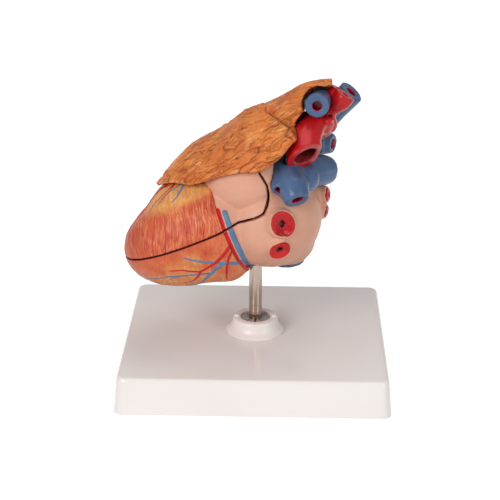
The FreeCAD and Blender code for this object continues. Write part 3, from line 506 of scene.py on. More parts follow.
def smooth_run(stops, spacing):
    """Stops joined by a smooth line with points about a spacing apart."""
    stops = np.array(stops, float)
    ends = np.vstack([2 * stops[0] - stops[1], stops, 2 * stops[-1] - stops[-2]])
    line = []
    for before, start, end, after in zip(ends, ends[1:], ends[2:], ends[3:]):
        span = np.linalg.norm((end - start)[:2] * (1.0, 0.7))
        for share in np.linspace(0, 1, max(3, int(span / spacing)), endpoint=False):
            line.append(0.5 * (2 * start + (end - before) * share
                               + (2 * before - 5 * start + 4 * end - after) * share ** 2
                               + (3 * start - before - 3 * end + after) * share ** 3))
    return np.array(line + [stops[-1]])


heart_skin = skin_of(["ventricles_back", "front_wall", "atria", "left_auricle", "right_auricle"])
WELL_OUTSIDE = 75.0


def on_skin(length, angle):
    """The outermost place at a length from the apex and an angle round the heart.

    The angle is 0 at the left side, 90 at the front and 180 at the right side.
    """
    way = -SIDE * math.cos(math.radians(angle)) + RISE * math.sin(math.radians(angle))
    outside = axis_at(length) + way * WELL_OUTSIDE
    hit = heart_skin.ray_cast(in_metres(outside), Vector(-way))[0]
    return None if hit is None else np.array(hit) / MM - SEAT


# Each vessel: half width in mm at its start and end, then its stops as
# (length from the apex, angle round the heart).
ARTERIES = [
    (1.55, 1.3, [(68.5, 22), (68.5, 14), (68.6, 0), (68.7, -11), (68.6, -26), (68.5, -42), (68.3, -60),
                 (68, -80), (68, -102)]),
    (1.35, 0.5, [(68.5, -10), (64.8, -13), (59, -18), (53, -21), (46.3, -23), (40.8, -20), (35.8, -16),
                 (29, -14)]),
    (1.0, 0.55, [(68.6, -15), (65.2, -20), (61.3, -30), (58.5, -42), (57, -52)]),
    (0.9, 0.4, [(46.5, -24), (42.1, -32), (37, -38), (29.3, -37), (22.2, -38)]),
    (1.6, 0.6, [(66, 60), (55, 74), (45, 80), (36, 84), (25, 88), (14, 86), (7, 70)]),
    (0.85, 0.4, [(50, 76), (46, 72), (41.1, 69), (35.4, 66), (30.4, 63), (26, 60)]),
    (0.75, 0.35, [(47, 80), (43.4, 75), (38.8, 82), (32, 98), (25, 99)]),
    (0.7, 0.35, [(46.1, 70), (41.9, 64), (36.6, 60), (33, 57)]),
    (1.6, 1.2, [(68, 112), (68, 130), (68, 150), (68, 175), (68, 205), (68, 232), (68, 254)]),
    (1.1, 0.4, [(68, 186), (60, 191), (48, 187), (36, 181), (23, 172)]),
    (0.9, 0.4, [(68, 152), (58, 154), (47, 147), (37, 141)]),
    (1.1, 0.4, [(68, 252), (60, 262), (48, 266), (36, 268), (22, 272)]),
    (0.7, 0.35, [(50, 265), (43, 256), (35, 246), (27, 240)]),
    (0.7, 0.35, [(46, 267), (38, 281), (30, 292)]),
]
VEINS = [
    (1.7, 2.2, [(72, 18), (72.1, 12), (72.1, 0), (72.2, -16), (72.3, -34), (72.3, -56), (72, -90),
                (71.5, -118)]),
    (1.7, 0.6, [(72.6, -45), (69.8, -36), (64.4, -26), (58.3, -20), (53.3, -16), (47.3, -11), (41.1, -5)]),
    (1.5, 0.9, [(63.5, -25), (61.6, -24), (56.1, -25), (51.9, -30), (46.8, -37), (39.8, -52), (32.7, -53)]),
    (1.0, 0.45, [(51.9, -30), (46.4, -27), (39.6, -25), (33.9, -24), (25, -23), (12.1, -31)]),
    (0.6, 0.35, [(34.9, -24), (29.3, -26), (24.3, -31)]),
    (1.4, 0.5, [(66, 52), (56, 64), (47, 85), (38, 93), (31, 100), (26.2, 98), (20.5, 88), (14.5, 87)]),
    (1.15, 0.5, [(53, 63), (51.5, 59), (48.6, 53), (46, 50), (43.7, 48)]),
    (0.75, 0.35, [(50, 66), (47.1, 64), (41, 62.5), (35.3, 58), (32, 56)]),
    (0.6, 0.3, [(42, 86), (36, 96), (30, 88), (25, 83), (18.5, 76)]),
    (1.2, 1.6, [(70.8, 140), (70.8, 165), (71, 195), (71.2, 225), (71, 248)]),
    (0.9, 0.4, [(70.5, 128), (60, 124), (51, 118), (43, 112)]),
    (1.5, 0.5, [(71, -95), (60, -90), (48, -86), (35, -83), (20, -80)]),
]


def tree_of(points):
    """A search tree that gives the number of the nearest point."""
    tree = KDTree(len(points))
    for number, point in enumerate(points):
        tree.insert(point, number)
    tree.balance()
    return tree


def vessel_tree(vessels, seed):
    """A search tree of points along the vessels, with the half width at each point.

    A vessel wanders a little either side of its stops, but not at its two ends.
    """
    points = []
    widths = []
    for number, (first, last, stops) in enumerate(vessels):
        line = smooth_run(stops, 0.5)
        for step, (length, angle) in enumerate(line):
            share = step / (len(line) - 1)
            wander = noise.noise(Vector((length * 0.12, angle * 0.05, seed + number))) * 1.1
            ends = min(1.0, 6 * share, 6 * (1 - share))
            spot = on_skin(length, angle + wander * ends)
            if spot is not None:
                points.append(spot)
                widths.append(first + (last - first) * share)
    return tree_of(points), np.array(widths)


artery_tree = vessel_tree(ARTERIES, 3.0)
vein_tree = vessel_tree(VEINS, 11.0)


def from_vessels(tree_and_widths, places):
    """For each place: distance beyond the vessel's edge, and the vessel's half width."""
    tree, widths = tree_and_widths
    found = [tree.find(Vector(place)) for place in places]
    nearest = widths[[hit[1] for hit in found]]
    return np.array([hit[2] for hit in found]) - nearest, nearest


# The seam between the heart and its front wall: a flat cut up to SEAM_BEND, where it
# turns up and round the auricles, as (x, z) stops.  SEAM_GAP is the gap in the cut.
SEAM_SLOPE = 0.421
SEAM_GAP = 0.55
SEAM_NORMAL = np.array((-SEAM_SLOPE, 0.0, 1.0)) / math.hypot(SEAM_SLOPE, 1.0)
SEAM_BEND = [(-2, 42.7), (5.4, 46.4), (8.2, 55), (7.2, 62.5), (3, 69.6), (-9, 92)]


def above_seam(places):
    """How far places lie above the flat cut."""
    return (places - (SEAM_BEND[0][0], 0, SEAM_BEND[0][1])) @ SEAM_NORMAL


def seam_way(places):
    """How far places lie from the seam: its straight part, or its bend behind that."""
    best = np.full(len(places), 1e9)
    for start, end in zip(SEAM_BEND, SEAM_BEND[1:]):
        run = np.subtract(end, start)
        off = places[:, [0, 2]] - start
        share = np.clip(off @ run / (run @ run), 0, 1)
        best = np.minimum(best, np.linalg.norm(off - share[:, None] * run, axis=1))
    return np.where(places[:, 0] < SEAM_BEND[0][0], np.abs(above_seam(places)), best)


def fractal(places, scale, octaves=3, seed=0.0):
    """Random heights around 0, with lumps about 1 / scale mm long."""
    return np.array([noise.fractal(Vector(place) * scale + Vector((seed, 0, 0)), 1.0, 2.0, octaves)
                     for place in places])


def inside_egg(places, x, y, z, half_x, half_y, half_z):
    """1 on an egg's surface and less inside it."""
    return np.linalg.norm((places - (x, y, z)) / (half_x, half_y, half_z), axis=1)


FRONT_LONG, BACK_LONG, HALF_WIDE, HALF_HIGH = 60.5, 35.0, 42.0, 35.2


def outer_share(places):
    """1 on the ventricles' outer skin, and less in their chambers."""
    off = places - axis_at(AXIS_MIDDLE)
    length = off @ LONG
    side = off @ SIDE - SIDE_BEND * length
    rise = off @ RISE - RISE_BEND * length
    half_long = np.where(length < 0, FRONT_LONG, BACK_LONG)
    return np.sqrt((length / half_long) ** 2 + (side / HALF_WIDE) ** 2 + (rise / HALF_HIGH) ** 2)


def bump_at(places, middle, wide):
    """A round bump: 1 in its middle and next to 0 two widths away."""
    return np.exp(-(np.linalg.norm(places - middle, axis=1) / wide) ** 2)


# The rooms inside the left and the right atrium: middle and half lengths.
ATRIUM_ROOMS = [(13, -14, 33, 18.5, 18.5, 18.5), (12, 23, 37, 13, 13, 23)]
# The right auricle is flattened where it comes nearest to the thymus's outer side.
WINDOW_AT = np.array((-17.5, 33.1, 71.0))
WINDOW_OUT = np.array((-0.40, 0.77, 0.49))
WINDOW_WIDE, WINDOW_FLAT = 7.0, 1.4
# The ventricles are flatter at the front of the apex and fuller below: height of the
# lump, then its length and angle, each with the spread to either side.
HEART_LUMPS = [(-3.4, 20, 13, 95, 50), (4.0, 60, 10, -78, 36)]
THYMUS_GAP = 0.35


def outside_of(places, is_wall):
    """1 on a heart casting's outer skin and 0 in its chambers."""
    if is_wall:
        return soft_step(0.93, 0.975, outer_share(places))
    outer = np.ones(len(places))
    for egg in ATRIUM_ROOMS:
        outer = np.minimum(outer, soft_step(1.04, 1.1, inside_egg(places, *egg)))
    return outer


def kept_clear(push, places, ways, tree):
    """The same push, held back where it would bring the skin against another piece."""
    room = np.clip(room_to(tree, places) - THYMUS_GAP, 0, None)
    size = np.linalg.norm(push, axis=1)
    outward = (push * ways).sum(axis=1) > 0
    share = np.where(outward & (size > room), room / np.maximum(size, 1e-6), 1.0)
    return push * share[:, None]


def dress_heart(piece, is_wall, gap_beyond, thymus_room):
    """Lumps, raised vessels and the numbers that the paint of a heart casting reads."""
    places = spots(piece)
    ways = facings(piece)
    seam = seam_way(places)
    outer = outside_of(places, is_wall)
    off_artery, artery_wide = from_vessels(artery_tree, places)
    off_vein, vein_wide = from_vessels(vein_tree, places)
    rise = 0.55 * artery_wide * (1 - soft_step(-0.9, 0.5, off_artery / artery_wide))
    rise = np.maximum(rise, 0.5 * vein_wide * (1 - soft_step(-0.9, 0.5, off_vein / vein_wide)))
    lumps = 0.35 * fractal(places, 0.07, 2) + 0.1 * fractal(places, 0.3, 2, 7.0)
    length, angle = round_heart(places)
    if is_wall:
        for high, at_length, long, at_angle, wide in HEART_LUMPS:
            lumps += high * np.exp(-((length - at_length) / long) ** 2
                                   - ((angle - at_angle) / wide) ** 2)
    push = ways * ((rise + lumps) * outer)[:, None]
    # Nothing moves across the seam, and the cut faces stay flat.
    on_seam = (seam < 1.0) & (np.abs(ways @ SEAM_NORMAL) > 0.6)
    near = 1 - soft_step(0.4, 2.0, seam)
    push -= SEAM_NORMAL * (push @ SEAM_NORMAL * near)[:, None]
    push[on_seam & (seam < 0.9)] *= 0.0
    if thymus_room is not None:
        push -= WINDOW_OUT * (WINDOW_FLAT * bump_at(places, WINDOW_AT, WINDOW_WIDE))[:, None]
        push = kept_clear(push, places, ways, thymus_room)
    move_to(piece, places + push)
    keep(piece, "artery", off_artery)
    keep(piece, "vein", off_vein)
    keep(piece, "outer", outer * np.where(on_seam, 0.0, 1.0))
    keep(piece, "skin", outer)
    keep(piece, "length", length)
    keep(piece, "seam", seam - gap_beyond)
    keep(piece, "above", above_seam(places))
    sway = 2.2 * fractal(places, 0.045, 2, 13.0) + 0.5 * fractal(places, 0.2, 1, 17.0)
    keep(piece, "across", (places[:, 0] + 0.12 * places[:, 2] + sway) * MM)


def coronaries(finish, colour):
    """Arteries and veins painted over a colour by hand, and 1 where they are."""
    edge = finish.place.noise(900.0, 2.0) * 0.5 - 0.25
    artery_on = (finish.kept("artery") + edge).between(0.12, -0.22)
    vein_on = (finish.kept("vein") + edge).between(0.12, -0.22)
    streak = finish.place.noise(160.0, 3.0).between(0.3, 0.7)
    colour = vein_on.blend(colour, streak.blend(paint(86, 116, 152), paint(104, 132, 160)))
    colour = artery_on.blend(colour, streak.blend(paint(204, 30, 38), paint(182, 24, 32)))
    return colour, artery_on.most(vein_on)


def cut_and_rooms(finish, colour, darker, paler):
    """Flesh tones in the rooms and on the cut faces, and painted shade along the cut, where the gap lies in
    shadow.
    """
    raw = finish.place.noise(60.0, 4.0).between(0.3, 0.7).blend(darker, paler)
    colour = finish.kept("outer").between(0.35, 0.65).blend(raw, colour)
    # Painted shade: a dark band on the faces next to the seam, standing in for the shadow in the gap.
    seam_shade = finish.kept("seam").between(0.5, 0.15) * finish.kept("skin").between(0.6, 0.95)
    return (seam_shade * 0.92).blend(colour, paint(66, 22, 18))


muscle = Finish("painted_muscle", IOR=1.42, Specular_IOR_Level=0.3)
patch = muscle.place.noise(38.0, 4.0, 0.6)
length = muscle.kept("length")
above = muscle.kept("above")
swayed = muscle.place.make("ShaderNodeCombineXYZ", {}, {0: muscle.kept("across"),
                                                        1: muscle.place.part(1),
                                                        2: muscle.place.part(2)})
# Brush strokes and hairs run up and down the muscle with a sway; among them, thin pale streaks are painted
# highlights.
brush = swayed.stretched((760.0, 80.0, 80.0)).noise(1.0, 2.0, 0.5, 0.2)
hair = (swayed.stretched((600.0, 44.0, 44.0)).noise(1.0, 1.0, 0.5, 0.1) - 0.5).size().between(0.06, 0.01)
highlight_streak = (swayed.stretched((720.0, 52.0, 52.0)).noise(1.0, 1.0, 0.5, 0.1) - 0.5).size().between(0.05, 0.0)
blotch = swayed.stretched((90.0, 60.0, 60.0)).noise(1.0, 4.0, 0.65)
mottle = muscle.place.noise(130.0, 4.0, 0.65)
# The belt is the redder band above the cut, where strokes and hairs show most.
belt = above.between(-3.0, 3.0) * (above + patch * 16.0 + brush * 8.0 - 12.0).between(24.0, 15.0)
colour = blotch.between(0.36, 0.64).blend(paint(222, 124, 80), paint(204, 94, 58))
colour = (mottle.between(0.56, 0.7) * 0.45).blend(colour, paint(190, 70, 50))
colour = (mottle.between(0.46, 0.32) * 0.45).blend(colour, paint(230, 148, 92))
colour = (belt * blotch.between(0.3, 0.62) * 0.6).blend(colour, paint(198, 78, 56))
colour = (brush.between(0.5, 0.64) * (belt * 0.45 + 0.05)).blend(colour, paint(182, 52, 40))
# Painted highlights: thin pale streaks between the red strokes, strongest in the belt.
colour = (highlight_streak * (belt * 0.35 + 0.1)).blend(colour, paint(242, 172, 124))
colour = (hair * (belt * 0.5 + 0.12)).blend(colour, paint(170, 44, 34))
spotty = muscle.place.noise(95.0, 3.0, 0.6).between(0.62, 0.7)
colour = (spotty * 0.7).blend(colour, paint(186, 62, 46))
# Fat lies low on the back half, under the thymus, in the groove and by the vessels.
low_back = above.between(0.0, -14.0)
golden = muscle.place.noise(60.0, 4.0, 0.6).between(0.48, 0.64)
colour = (low_back * golden * 0.5).blend(colour, paint(220, 150, 82))
top_fat = (above + patch * 12.0 - 6.0).between(18.0, 24.0) * length.between(16.0, 34.0)
groove_fat = length.between(56.0, 67.0) * patch.between(0.4, 0.6) * above.between(6.0, 18.0)
by_vessel = muscle.kept("artery").least(muscle.kept("vein")).between(5.0, 0.5) * low_back
fat = groove_fat.most(top_fat).most(by_vessel * patch.between(0.36, 0.6) * 0.9)
fat_tone = brush.between(0.35, 0.65).blend(paint(222, 150, 86), paint(236, 182, 108))
fat_tone = (mottle.between(0.5, 0.66) * 0.5).blend(fat_tone, paint(214, 128, 70))
fat_tone = (hair * 0.35).blend(fat_tone, paint(196, 112, 64))
colour = (fat * 0.88).blend(colour, fat_tone)
apex = length.between(26.0, 6.0) * above.between(24.0, 14.0)
colour = (apex * 0.65).blend(colour, paint(182, 80, 50))
colour, on_vessel = coronaries(muscle, colour)
muscle.feed("Base Color", cut_and_rooms(muscle, colour, paint(178, 66, 56), paint(198, 96, 78)))
muscle.feed("Roughness", patch * 0.2 + 0.3)
plain = 1.0 - on_vessel
muscle.relief(brush * plain * 0.8 - hair * plain * 0.35 + muscle.place.noise(55.0, 2.0) * 0.4, 0.0003, 0.9)

thymus_skin = skin_of(["thymus"])
back_wall = casting("ventricles_cast", ["ventricles_back"], 0.75, 3)
dress_heart(back_wall, True, 0.0, None)
front_cast = casting("front_wall_cast", ["front_wall"], 0.75, 3)
dress_heart(front_cast, True, SEAM_GAP, thymus_skin)
for piece, body, nodes in ((back_wall, "heart", ["ventricles_back"]),
                           (front_cast, "front_wall", ["front_wall"])):
    piece.data.materials.append(muscle.material)
    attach(piece, body)
    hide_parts(*nodes)

# ------------------------------------------------------------ atria and auricles
# The thin-walled chambers, cast in the same plastic and sprayed a pale pink.
# The auricles come away with the front wall.
flesh = Finish("painted_atrium", IOR=1.42, Specular_IOR_Level=0.3)
cloud = flesh.place.noise(30.0, 3.0)
fine = flesh.place.noise(240.0, 3.0)
colour = cloud.between(0.3, 0.7).blend(paint(212, 154, 129), paint(221, 167, 142))
colour = (fine.between(0.55, 0.75) * 0.2).blend(colour, paint(204, 140, 118))
colour, _ = coronaries(flesh, colour)
flesh.feed("Base Color", cut_and_rooms(flesh, colour, paint(196, 110, 92), paint(208, 132, 112)))
flesh.feed("Roughness", cloud * 0.15 + 0.34)
frill = (flesh.place.stretched((420.0, 420.0, 90.0), (0.0, 0.5, 0.0)).noise(1.0, 2.0, 0.5, 0.8) - 0.5).size()
frilled = flesh.kept("length").between(66.0, 52.0)
flesh.relief(fine + cloud * 0.6 + frill * frilled * 10.0, 0.00014, 0.8)

for name, node, body, beyond, room in (
        ("atria_cast", "atria", "heart", 0.0, None),
        ("left_auricle_cast", "left_auricle", "front_wall", SEAM_GAP, thymus_skin),
        ("right_auricle_cast", "right_auricle", "front_wall", SEAM_GAP, thymus_skin)):
    piece = casting(name, [node], 0.8, 4)
    dress_heart(piece, False, beyond, room)
    piece.data.materials.append(flesh.material)
    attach(piece, body)
    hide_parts(node)

# ------------------------------------------------------------ great vessels
# Each vessel is a hollow casting, sprayed red or blue, with dark lumens painted
# in its cut ends.

# The cut ends: middle, way out, radius of the hole, and how deep it is painted.
ARTERY_BORES = [((52.5, -3, 109), (0.5, -0.1, 0.86), 1.8, 7),
                ((48.6, 4, 111), (0.45, 0.1, 0.88), 1.8, 7),
                ((45.5, -11, 97.5), (0.4, -0.4, 0.82), 1.8, 7)]
TRUNK_BORES = [((25, -43, 56), (0.38, -0.72, -0.58), 3.2, 7),
               ((14.2, -38, 60.8), (-0.1, -0.9, -0.42), 2.2, 7),
               ((47, 13, 74), (0.97, 0.1, -0.2), 3.0, 7)]
CAVA_BORES = [((57, 15, 106.5), (0.64, -0.24, 0.73), 3.2, 7)]
CROSS_BORES = [((35.3, -18, 107), (-0.1, -1, 0.05), 3.2, 7)]
LOWER_BORES = [((20.5, 16.5, -4.5), (0.1, 0.05, -1), 7.4, 30)]
LEFT_DISCS = [((17, -44, 41.8), (0.42, -0.88, 0.12), 1.8, 6),
              ((15, -42.5, 24.5), (0.08, -0.9, -0.42), 1.4, 6)]
RIGHT_DISCS = [((44.2, 0, 46), (0.95, -0.28, 0.1), 1.1, 6),
               ((43.6, 1, 34.4), (0.96, -0.25, -0.1), 1.0, 6)]
# Stops along the aorta, each with a radius between its bore and its skin.
AORTA_PATH = [(13, 3, 40, 10.7), (15, 6, 60, 10.7), (19, 9, 73, 10.7), (27, 9, 82, 9.7),
              (36, 3, 89.5, 8.0), (38, -2, 91, 7.0), (36, -6, 90.5, 7.0), (31.5, -14, 87, 8.0),
              (29.4, -22, 82, 8.6), (29, -31, 75, 8.6)]


FAR_FROM_BORE = -9.0


def from_axis(places, at, out):
    """An axis of length 1, how far places lie along it, and how they lie away from it."""
    out = np.array(out) / np.linalg.norm(out)
    off = places - at
    run = off @ out
    return out, run, off - run[:, None] * out


def bore_depth(places, bores):
    """How far each place lies inside the nearest bore's wall; positive inside."""
    best = np.full(len(places), FAR_FROM_BORE)
    for at, out, radius, depth in bores:
        _, run, aside = from_axis(places, at, out)
        inside = radius + 0.35 - np.linalg.norm(aside, axis=1)
        best = np.maximum(best, np.where((run < 1.0) & (run > -depth - 1.5), inside, FAR_FROM_BORE))
    return best


def vessel_paint(name, light, dark, lumen_light, lumen_dark):
    """Glossy sprayed paint outside, and matter tones where the lumens are."""
    coat = Finish(name, IOR=1.42, Specular_IOR_Level=0.2, Coat_Weight=0.4, Coat_Roughness=0.12,
                  Coat_IOR=1.4)
    streak = coat.place.noise(60.0, 4.0, 0.55)
    fine = coat.place.noise(420.0, 3.0)
    colour = streak.between(0.3, 0.72).blend(light, dark)
    colour = (fine.between(0.55, 0.8) * 0.25).blend(colour, dark)
    inner = fine.between(0.3, 0.7).blend(lumen_light, lumen_dark)
    coat.feed("Base Color", coat.kept("lumen").between(-0.15, 0.2).blend(colour, inner))
    coat.feed("Roughness", streak * 0.15 + 0.26)
    coat.relief(fine * 0.5 + streak, 0.0002, 0.6)
    return coat


artery_coat = vessel_paint("painted_artery", paint(202, 22, 28), paint(178, 16, 22),
                           paint(150, 46, 50), paint(112, 30, 36))
vein_coat = vessel_paint("painted_vein", paint(80, 106, 142), paint(66, 90, 126),
                         paint(168, 20, 58), paint(122, 12, 42))


END_REACH = 12.0


def dished(places, bores, depth, seed):
    """Cut ends pressed in a little towards a ragged hole, as by hand."""
    push = np.zeros_like(places)
    for at, out, radius, _ in bores:
        out, run, aside = from_axis(places, at, out)
        away = np.linalg.norm(aside, axis=1)
        near = soft_step(-3.0, -0.4, run) * (run < 2.0) * (away < END_REACH)
        bowl = 1 - soft_step(radius * 0.6, radius * 3.6, away)
        rough = 0.45 * fractal(places, 0.9, 2, seed) * (1 - soft_step(radius, radius * 2.4, away))
        push -= out * (near * (depth * bowl + rough))[:, None]
    return push


def dress_vessel(name, nodes, coat, bores, path=None, grain=0.6, dish=0.0, extra=None, rounds=4,
                 shaped=None):
    """A vessel cast from its nodes, pressed in at its ends and painted inside its bores."""
    piece = casting(name, nodes, grain, rounds, extra)
    places = spots(piece)
    ways = facings(piece)
    depth = bore_depth(places, bores)
    if path is not None:
        line = smooth_run(path, 1.0)
        tree = tree_of(line[:, :3])
        found = [tree.find(Vector(place)) for place in places]
        depth = np.maximum(depth, line[[hit[1] for hit in found], 3] - [hit[2] for hit in found])
    push = ways * (0.22 * fractal(places, 0.09, 2, 3.0))[:, None]
    if dish:
        push += dished(places, bores, dish, 4.0)
    if shaped is not None:
        push += shaped(places)
    move_to(piece, places + push)
    keep(piece, "lumen", depth)
    piece.data.materials.append(coat.material)
    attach(piece, "heart")
    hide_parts(*nodes)


AORTA_END, AORTA_END_WAY = (29.2, -25.5, 79.6), (0.48, -0.69, -0.54)
AORTA_NECK, AORTA_NECK_WAY = (46, -4, 98.5), (0.5, -0.1, 0.86)


def aorta_shape(places):
    """A narrower, lower cut end, a slim neck below the branches and a higher arch."""
    _, run, aside = from_axis(places, AORTA_END, AORTA_END_WAY)
    away = np.linalg.norm(aside, axis=1)
    at_end = soft_step(-13.0, -3.0, run) * (1 - soft_step(14.0, 18.0, away))
    lip = at_end * (1 - soft_step(8.6, 10.5, away))
    push = -aside * (0.16 * at_end + 0.1 * lip)[:, None]
    push += np.array((0.2, -3.5, -0.8)) * at_end[:, None]
    _, run, aside = from_axis(places, AORTA_NECK, AORTA_NECK_WAY)
    at_neck = np.exp(-(run / 4.5) ** 2) * (1 - soft_step(9.0, 12.0, np.linalg.norm(aside, axis=1)))
    push -= aside * (0.38 * at_neck)[:, None]
    push[:, 0] -= 2.2 * at_neck
    push += np.array((-0.5, 0.25, 0.8)) * (4.5 * bump_at(places, (42.5, -12, 85), 8.0))[:, None]
    return push


def trunk_shape(places):
    """The left arm's top lies lower, below the aorta's cut end; the right arm's end turns."""
    push = np.array((0.0, 0.8, -3.6)) * bump_at(places, (27, -30, 74), 9.0)[:, None]
    off = places - TRUNK_BORES[2][0]
    across = (np.abs(off[:, 1]) < END_REACH) * (np.abs(off[:, 2]) < END_REACH)
    at_stub = soft_step(-8.0, -1.0, off[:, 0]) * across
    push[:, 0] += (0.36 * off[:, 1] - 0.31 * off[:, 2]) * at_stub
    return push


def cross_shape(places):
    """The cross vein's cut end is slimmer and lies lower."""
    _, run, aside = from_axis(places, *CROSS_BORES[0][:2])
    at_end = soft_step(-28.0, -12.0, run)
    push = -aside * (0.11 * at_end)[:, None]
    push[:, 2] -= 1.2 * at_end
    return push


DISC_TRIMS = [(0.1, -0.22), (0.2, 0.25)]


def disc_shape(places):
    """Hand-trimmed discs: a share wider than they were, and leaning over."""
    push = np.zeros_like(places)
    for (at, out, _, _), (wider, lean) in zip(LEFT_DISCS, DISC_TRIMS):
        _, run, aside = from_axis(places, at, out)
        near = (np.linalg.norm(aside, axis=1) < END_REACH) * soft_step(-4.0, -1.0, run)
        push += aside * (wider * near)[:, None]
        push[:, 2] += lean * aside[:, 0] * near
    return push


dress_vessel("aorta_cast", ["aorta", "arch_branches"], artery_coat, ARTERY_BORES, AORTA_PATH,
             shaped=aorta_shape)
# A saddle joins the trunk's two arms without a notch.
SADDLE_AT, SADDLE_HALVES = (28, -21, 63), (10 * MM, 10 * MM, 9 * MM)
saddle = bmesh.new()
bmesh.ops.create_icosphere(saddle, subdivisions=4, radius=1.0,
                           matrix=Matrix.Translation(in_metres(SADDLE_AT))
                           @ Matrix.Diagonal((*SADDLE_HALVES, 1.0)))
saddle_mesh = bpy.data.meshes.new("saddle")
saddle.to_mesh(saddle_mesh)
saddle.free()
dress_vessel("pulmonary_artery_cast", ["pulmonary_artery"], vein_coat, TRUNK_BORES,
             dish=0.5, extra=saddle_mesh, rounds=18, shaped=trunk_shape)
dress_vessel("superior_vena_cava_cast", ["superior_vena_cava"], vein_coat, CAVA_BORES,
             dish=0.5)
dress_vessel("brachiocephalic_vein_cast", ["left_brachiocephalic_vein"], vein_coat,
             CROSS_BORES, dish=0.8, shaped=cross_shape)
dress_vessel("inferior_vena_cava_cast", ["inferior_vena_cava"], vein_coat, LOWER_BORES)
dress_vessel("left_veins_cast", ["left_pulmonary_veins"], artery_coat, LEFT_DISCS,
             grain=0.4, dish=1.6, shaped=disc_shape)
dress_vessel("right_veins_cast", ["right_pulmonary_veins"], artery_coat, RIGHT_DISCS,
             grain=0.4, dish=0.6)

# ------------------------------------------------------------ thymus
# Two overlapping lobes cast in one piece, wrinkled into small lobules and painted orange-tan,
# with painted shade darkening the creases.  Pegs hold it on the front wall.

# GLAND_LONG runs along the gland and GLAND_RISE square to that and up.
GLAND_PITCH = math.radians(32)
GLAND_LONG = np.array((math.cos(GLAND_PITCH), 0.0, math.sin(GLAND_PITCH)))
GLAND_RISE = np.array((-math.sin(GLAND_PITCH), 0.0, math.cos(GLAND_PITCH)))
# Without a seed, noise_vector would bend the creases in another way on every run.
CREASE_SEED = 7
noise.seed_set(CREASE_SEED)


def creases(places, long_size, short_size, sharp, seed):
    """0 along winding creases and 1 away from them."""
    values = np.empty(len(places))
    for number, place in enumerate(places):
        bend = noise.noise_vector(Vector(place) * 0.04 + Vector((seed, 0, 0))) * 6.0
        bend += noise.noise_vector(Vector(place) * 0.13 + Vector((0, seed, 0))) * 2.0
        spot = np.array(place + bend)
        near = noise.noise(Vector((spot @ GLAND_LONG / long_size, spot[1] / short_size,
                                   spot @ GLAND_RISE / short_size + seed)))
        values[number] = abs(near)
    return soft_step(0.0, sharp, values)


# The left lobe laps over the right one.  Its edge is given as (x, sight) stops, where
# sight is the height at which the camera's line to a place crosses y = 0.
LOBE_EDGE = [(26, 74), (25.5, 80), (23, 85.5), (19, 88.5), (6, 99), (-6, 101.5)]
SIGHT_SLOPE = 0.354 / 0.935


def sight_of(places):
    return places[:, 2] + SIGHT_SLOPE * places[:, 1]


def lobe_way(places):
    """How far places lie beyond the left lobe's edge; less than 0 on that lobe."""
    flat = np.column_stack((places[:, 0], sight_of(places)))
    best = np.full(len(places), 1e9)
    sign = np.ones(len(places))
    for start, end in zip(LOBE_EDGE, LOBE_EDGE[1:]):
        run = np.subtract(end, start)
        off = flat - start
        share = np.clip(off @ run / (run @ run), 0, 1)
        away = np.linalg.norm(off - share[:, None] * run, axis=1)
        turn = run[0] * off[:, 1] - run[1] * off[:, 0]
        sign = np.where(away < best, np.where(turn > 0, -1.0, 1.0), sign)
        best = np.minimum(best, away)
    return sign * best


def add_lobule(shape, at, way, halves, bow):
    """A flat egg that faces a way, with half lengths in mm and bent like a saucer by its bow."""
    turn = Vector(way).to_track_quat("Z", "Y").to_matrix()
    ball = bmesh.ops.create_icosphere(shape, subdivisions=4, radius=1.0)["verts"]
    for vertex in ball:
        across, along_it, out = vertex.co
        out = out * halves[2] - bow * (across ** 2 + along_it ** 2)
        bent = Vector((across * halves[0], along_it * halves[1], out))
        vertex.co = in_metres(np.array(at) + np.array(turn @ bent))


# A lobule over the far peg, and a thin part over the right auricle.
lobules = bmesh.new()
add_lobule(lobules, (-36.2, 8.0, 70.3), GLAND_RISE, (7.0, 8.5, 4.0), 0.8)
add_lobule(lobules, WINDOW_AT + WINDOW_OUT * 0.55, WINDOW_OUT, (12.0, 12.0, 0.95), 1.9)
lobule_mesh = bpy.data.meshes.new("lobules")
lobules.to_mesh(lobule_mesh)
lobules.free()
gland = casting("thymus_cast", ["thymus"], 0.6, 4, lobule_mesh)
places = spots(gland)
ways = facings(gland)
near_heart = skin_of(["front_wall", "left_auricle", "right_auricle", "atria", "aorta", "arch_branches",
                      "superior_vena_cava", "left_brachiocephalic_vein", "pulmonary_artery"])
# Wrinkles: coarse ones all over, fine ones in patches, and broad swellings.  They are
# calmer beyond the left lobe's edge.
coarse = creases(places, 32.0, 6.5, 0.1, 2.0)
leafy = soft_step(-0.2, 0.1, fractal(places, 0.05, 2, 21.0))
fine = 1 - (1 - creases(places, 13.0, 3.2, 0.14, 9.0)) * leafy
lap = lobe_way(places)
calm = soft_step(0.0, 4.0, lap)
push = (0.85 - 0.5 * calm) * (coarse - 0.8) + (0.5 - 0.3 * calm) * (fine - 0.65)
push += 0.9 * fractal(places, 0.055, 3, 5.0)
# The left lobe's edge stands up, with a groove beyond it, but not at the far top.
stepped = 1 - soft_step(97.0, 100.5, sight_of(places))
push += stepped * (1.3 * np.exp(-((lap + 2.2) / 2.2) ** 2) - 1.5 * np.exp(-((lap - 0.8) / 1.6) ** 2))
# The side against the heart stays as it was cast, and the pegs keep their cover.
room = room_to(near_heart, places)
free = soft_step(1.2, 3.5, room)
push *= free
by_peg = 1 - soft_step(1.5, 3.5, room_to(skin_of(["thymus_pegs"]), places))
push = push + (np.maximum(push, 0.0) + 0.5 - push) * by_peg
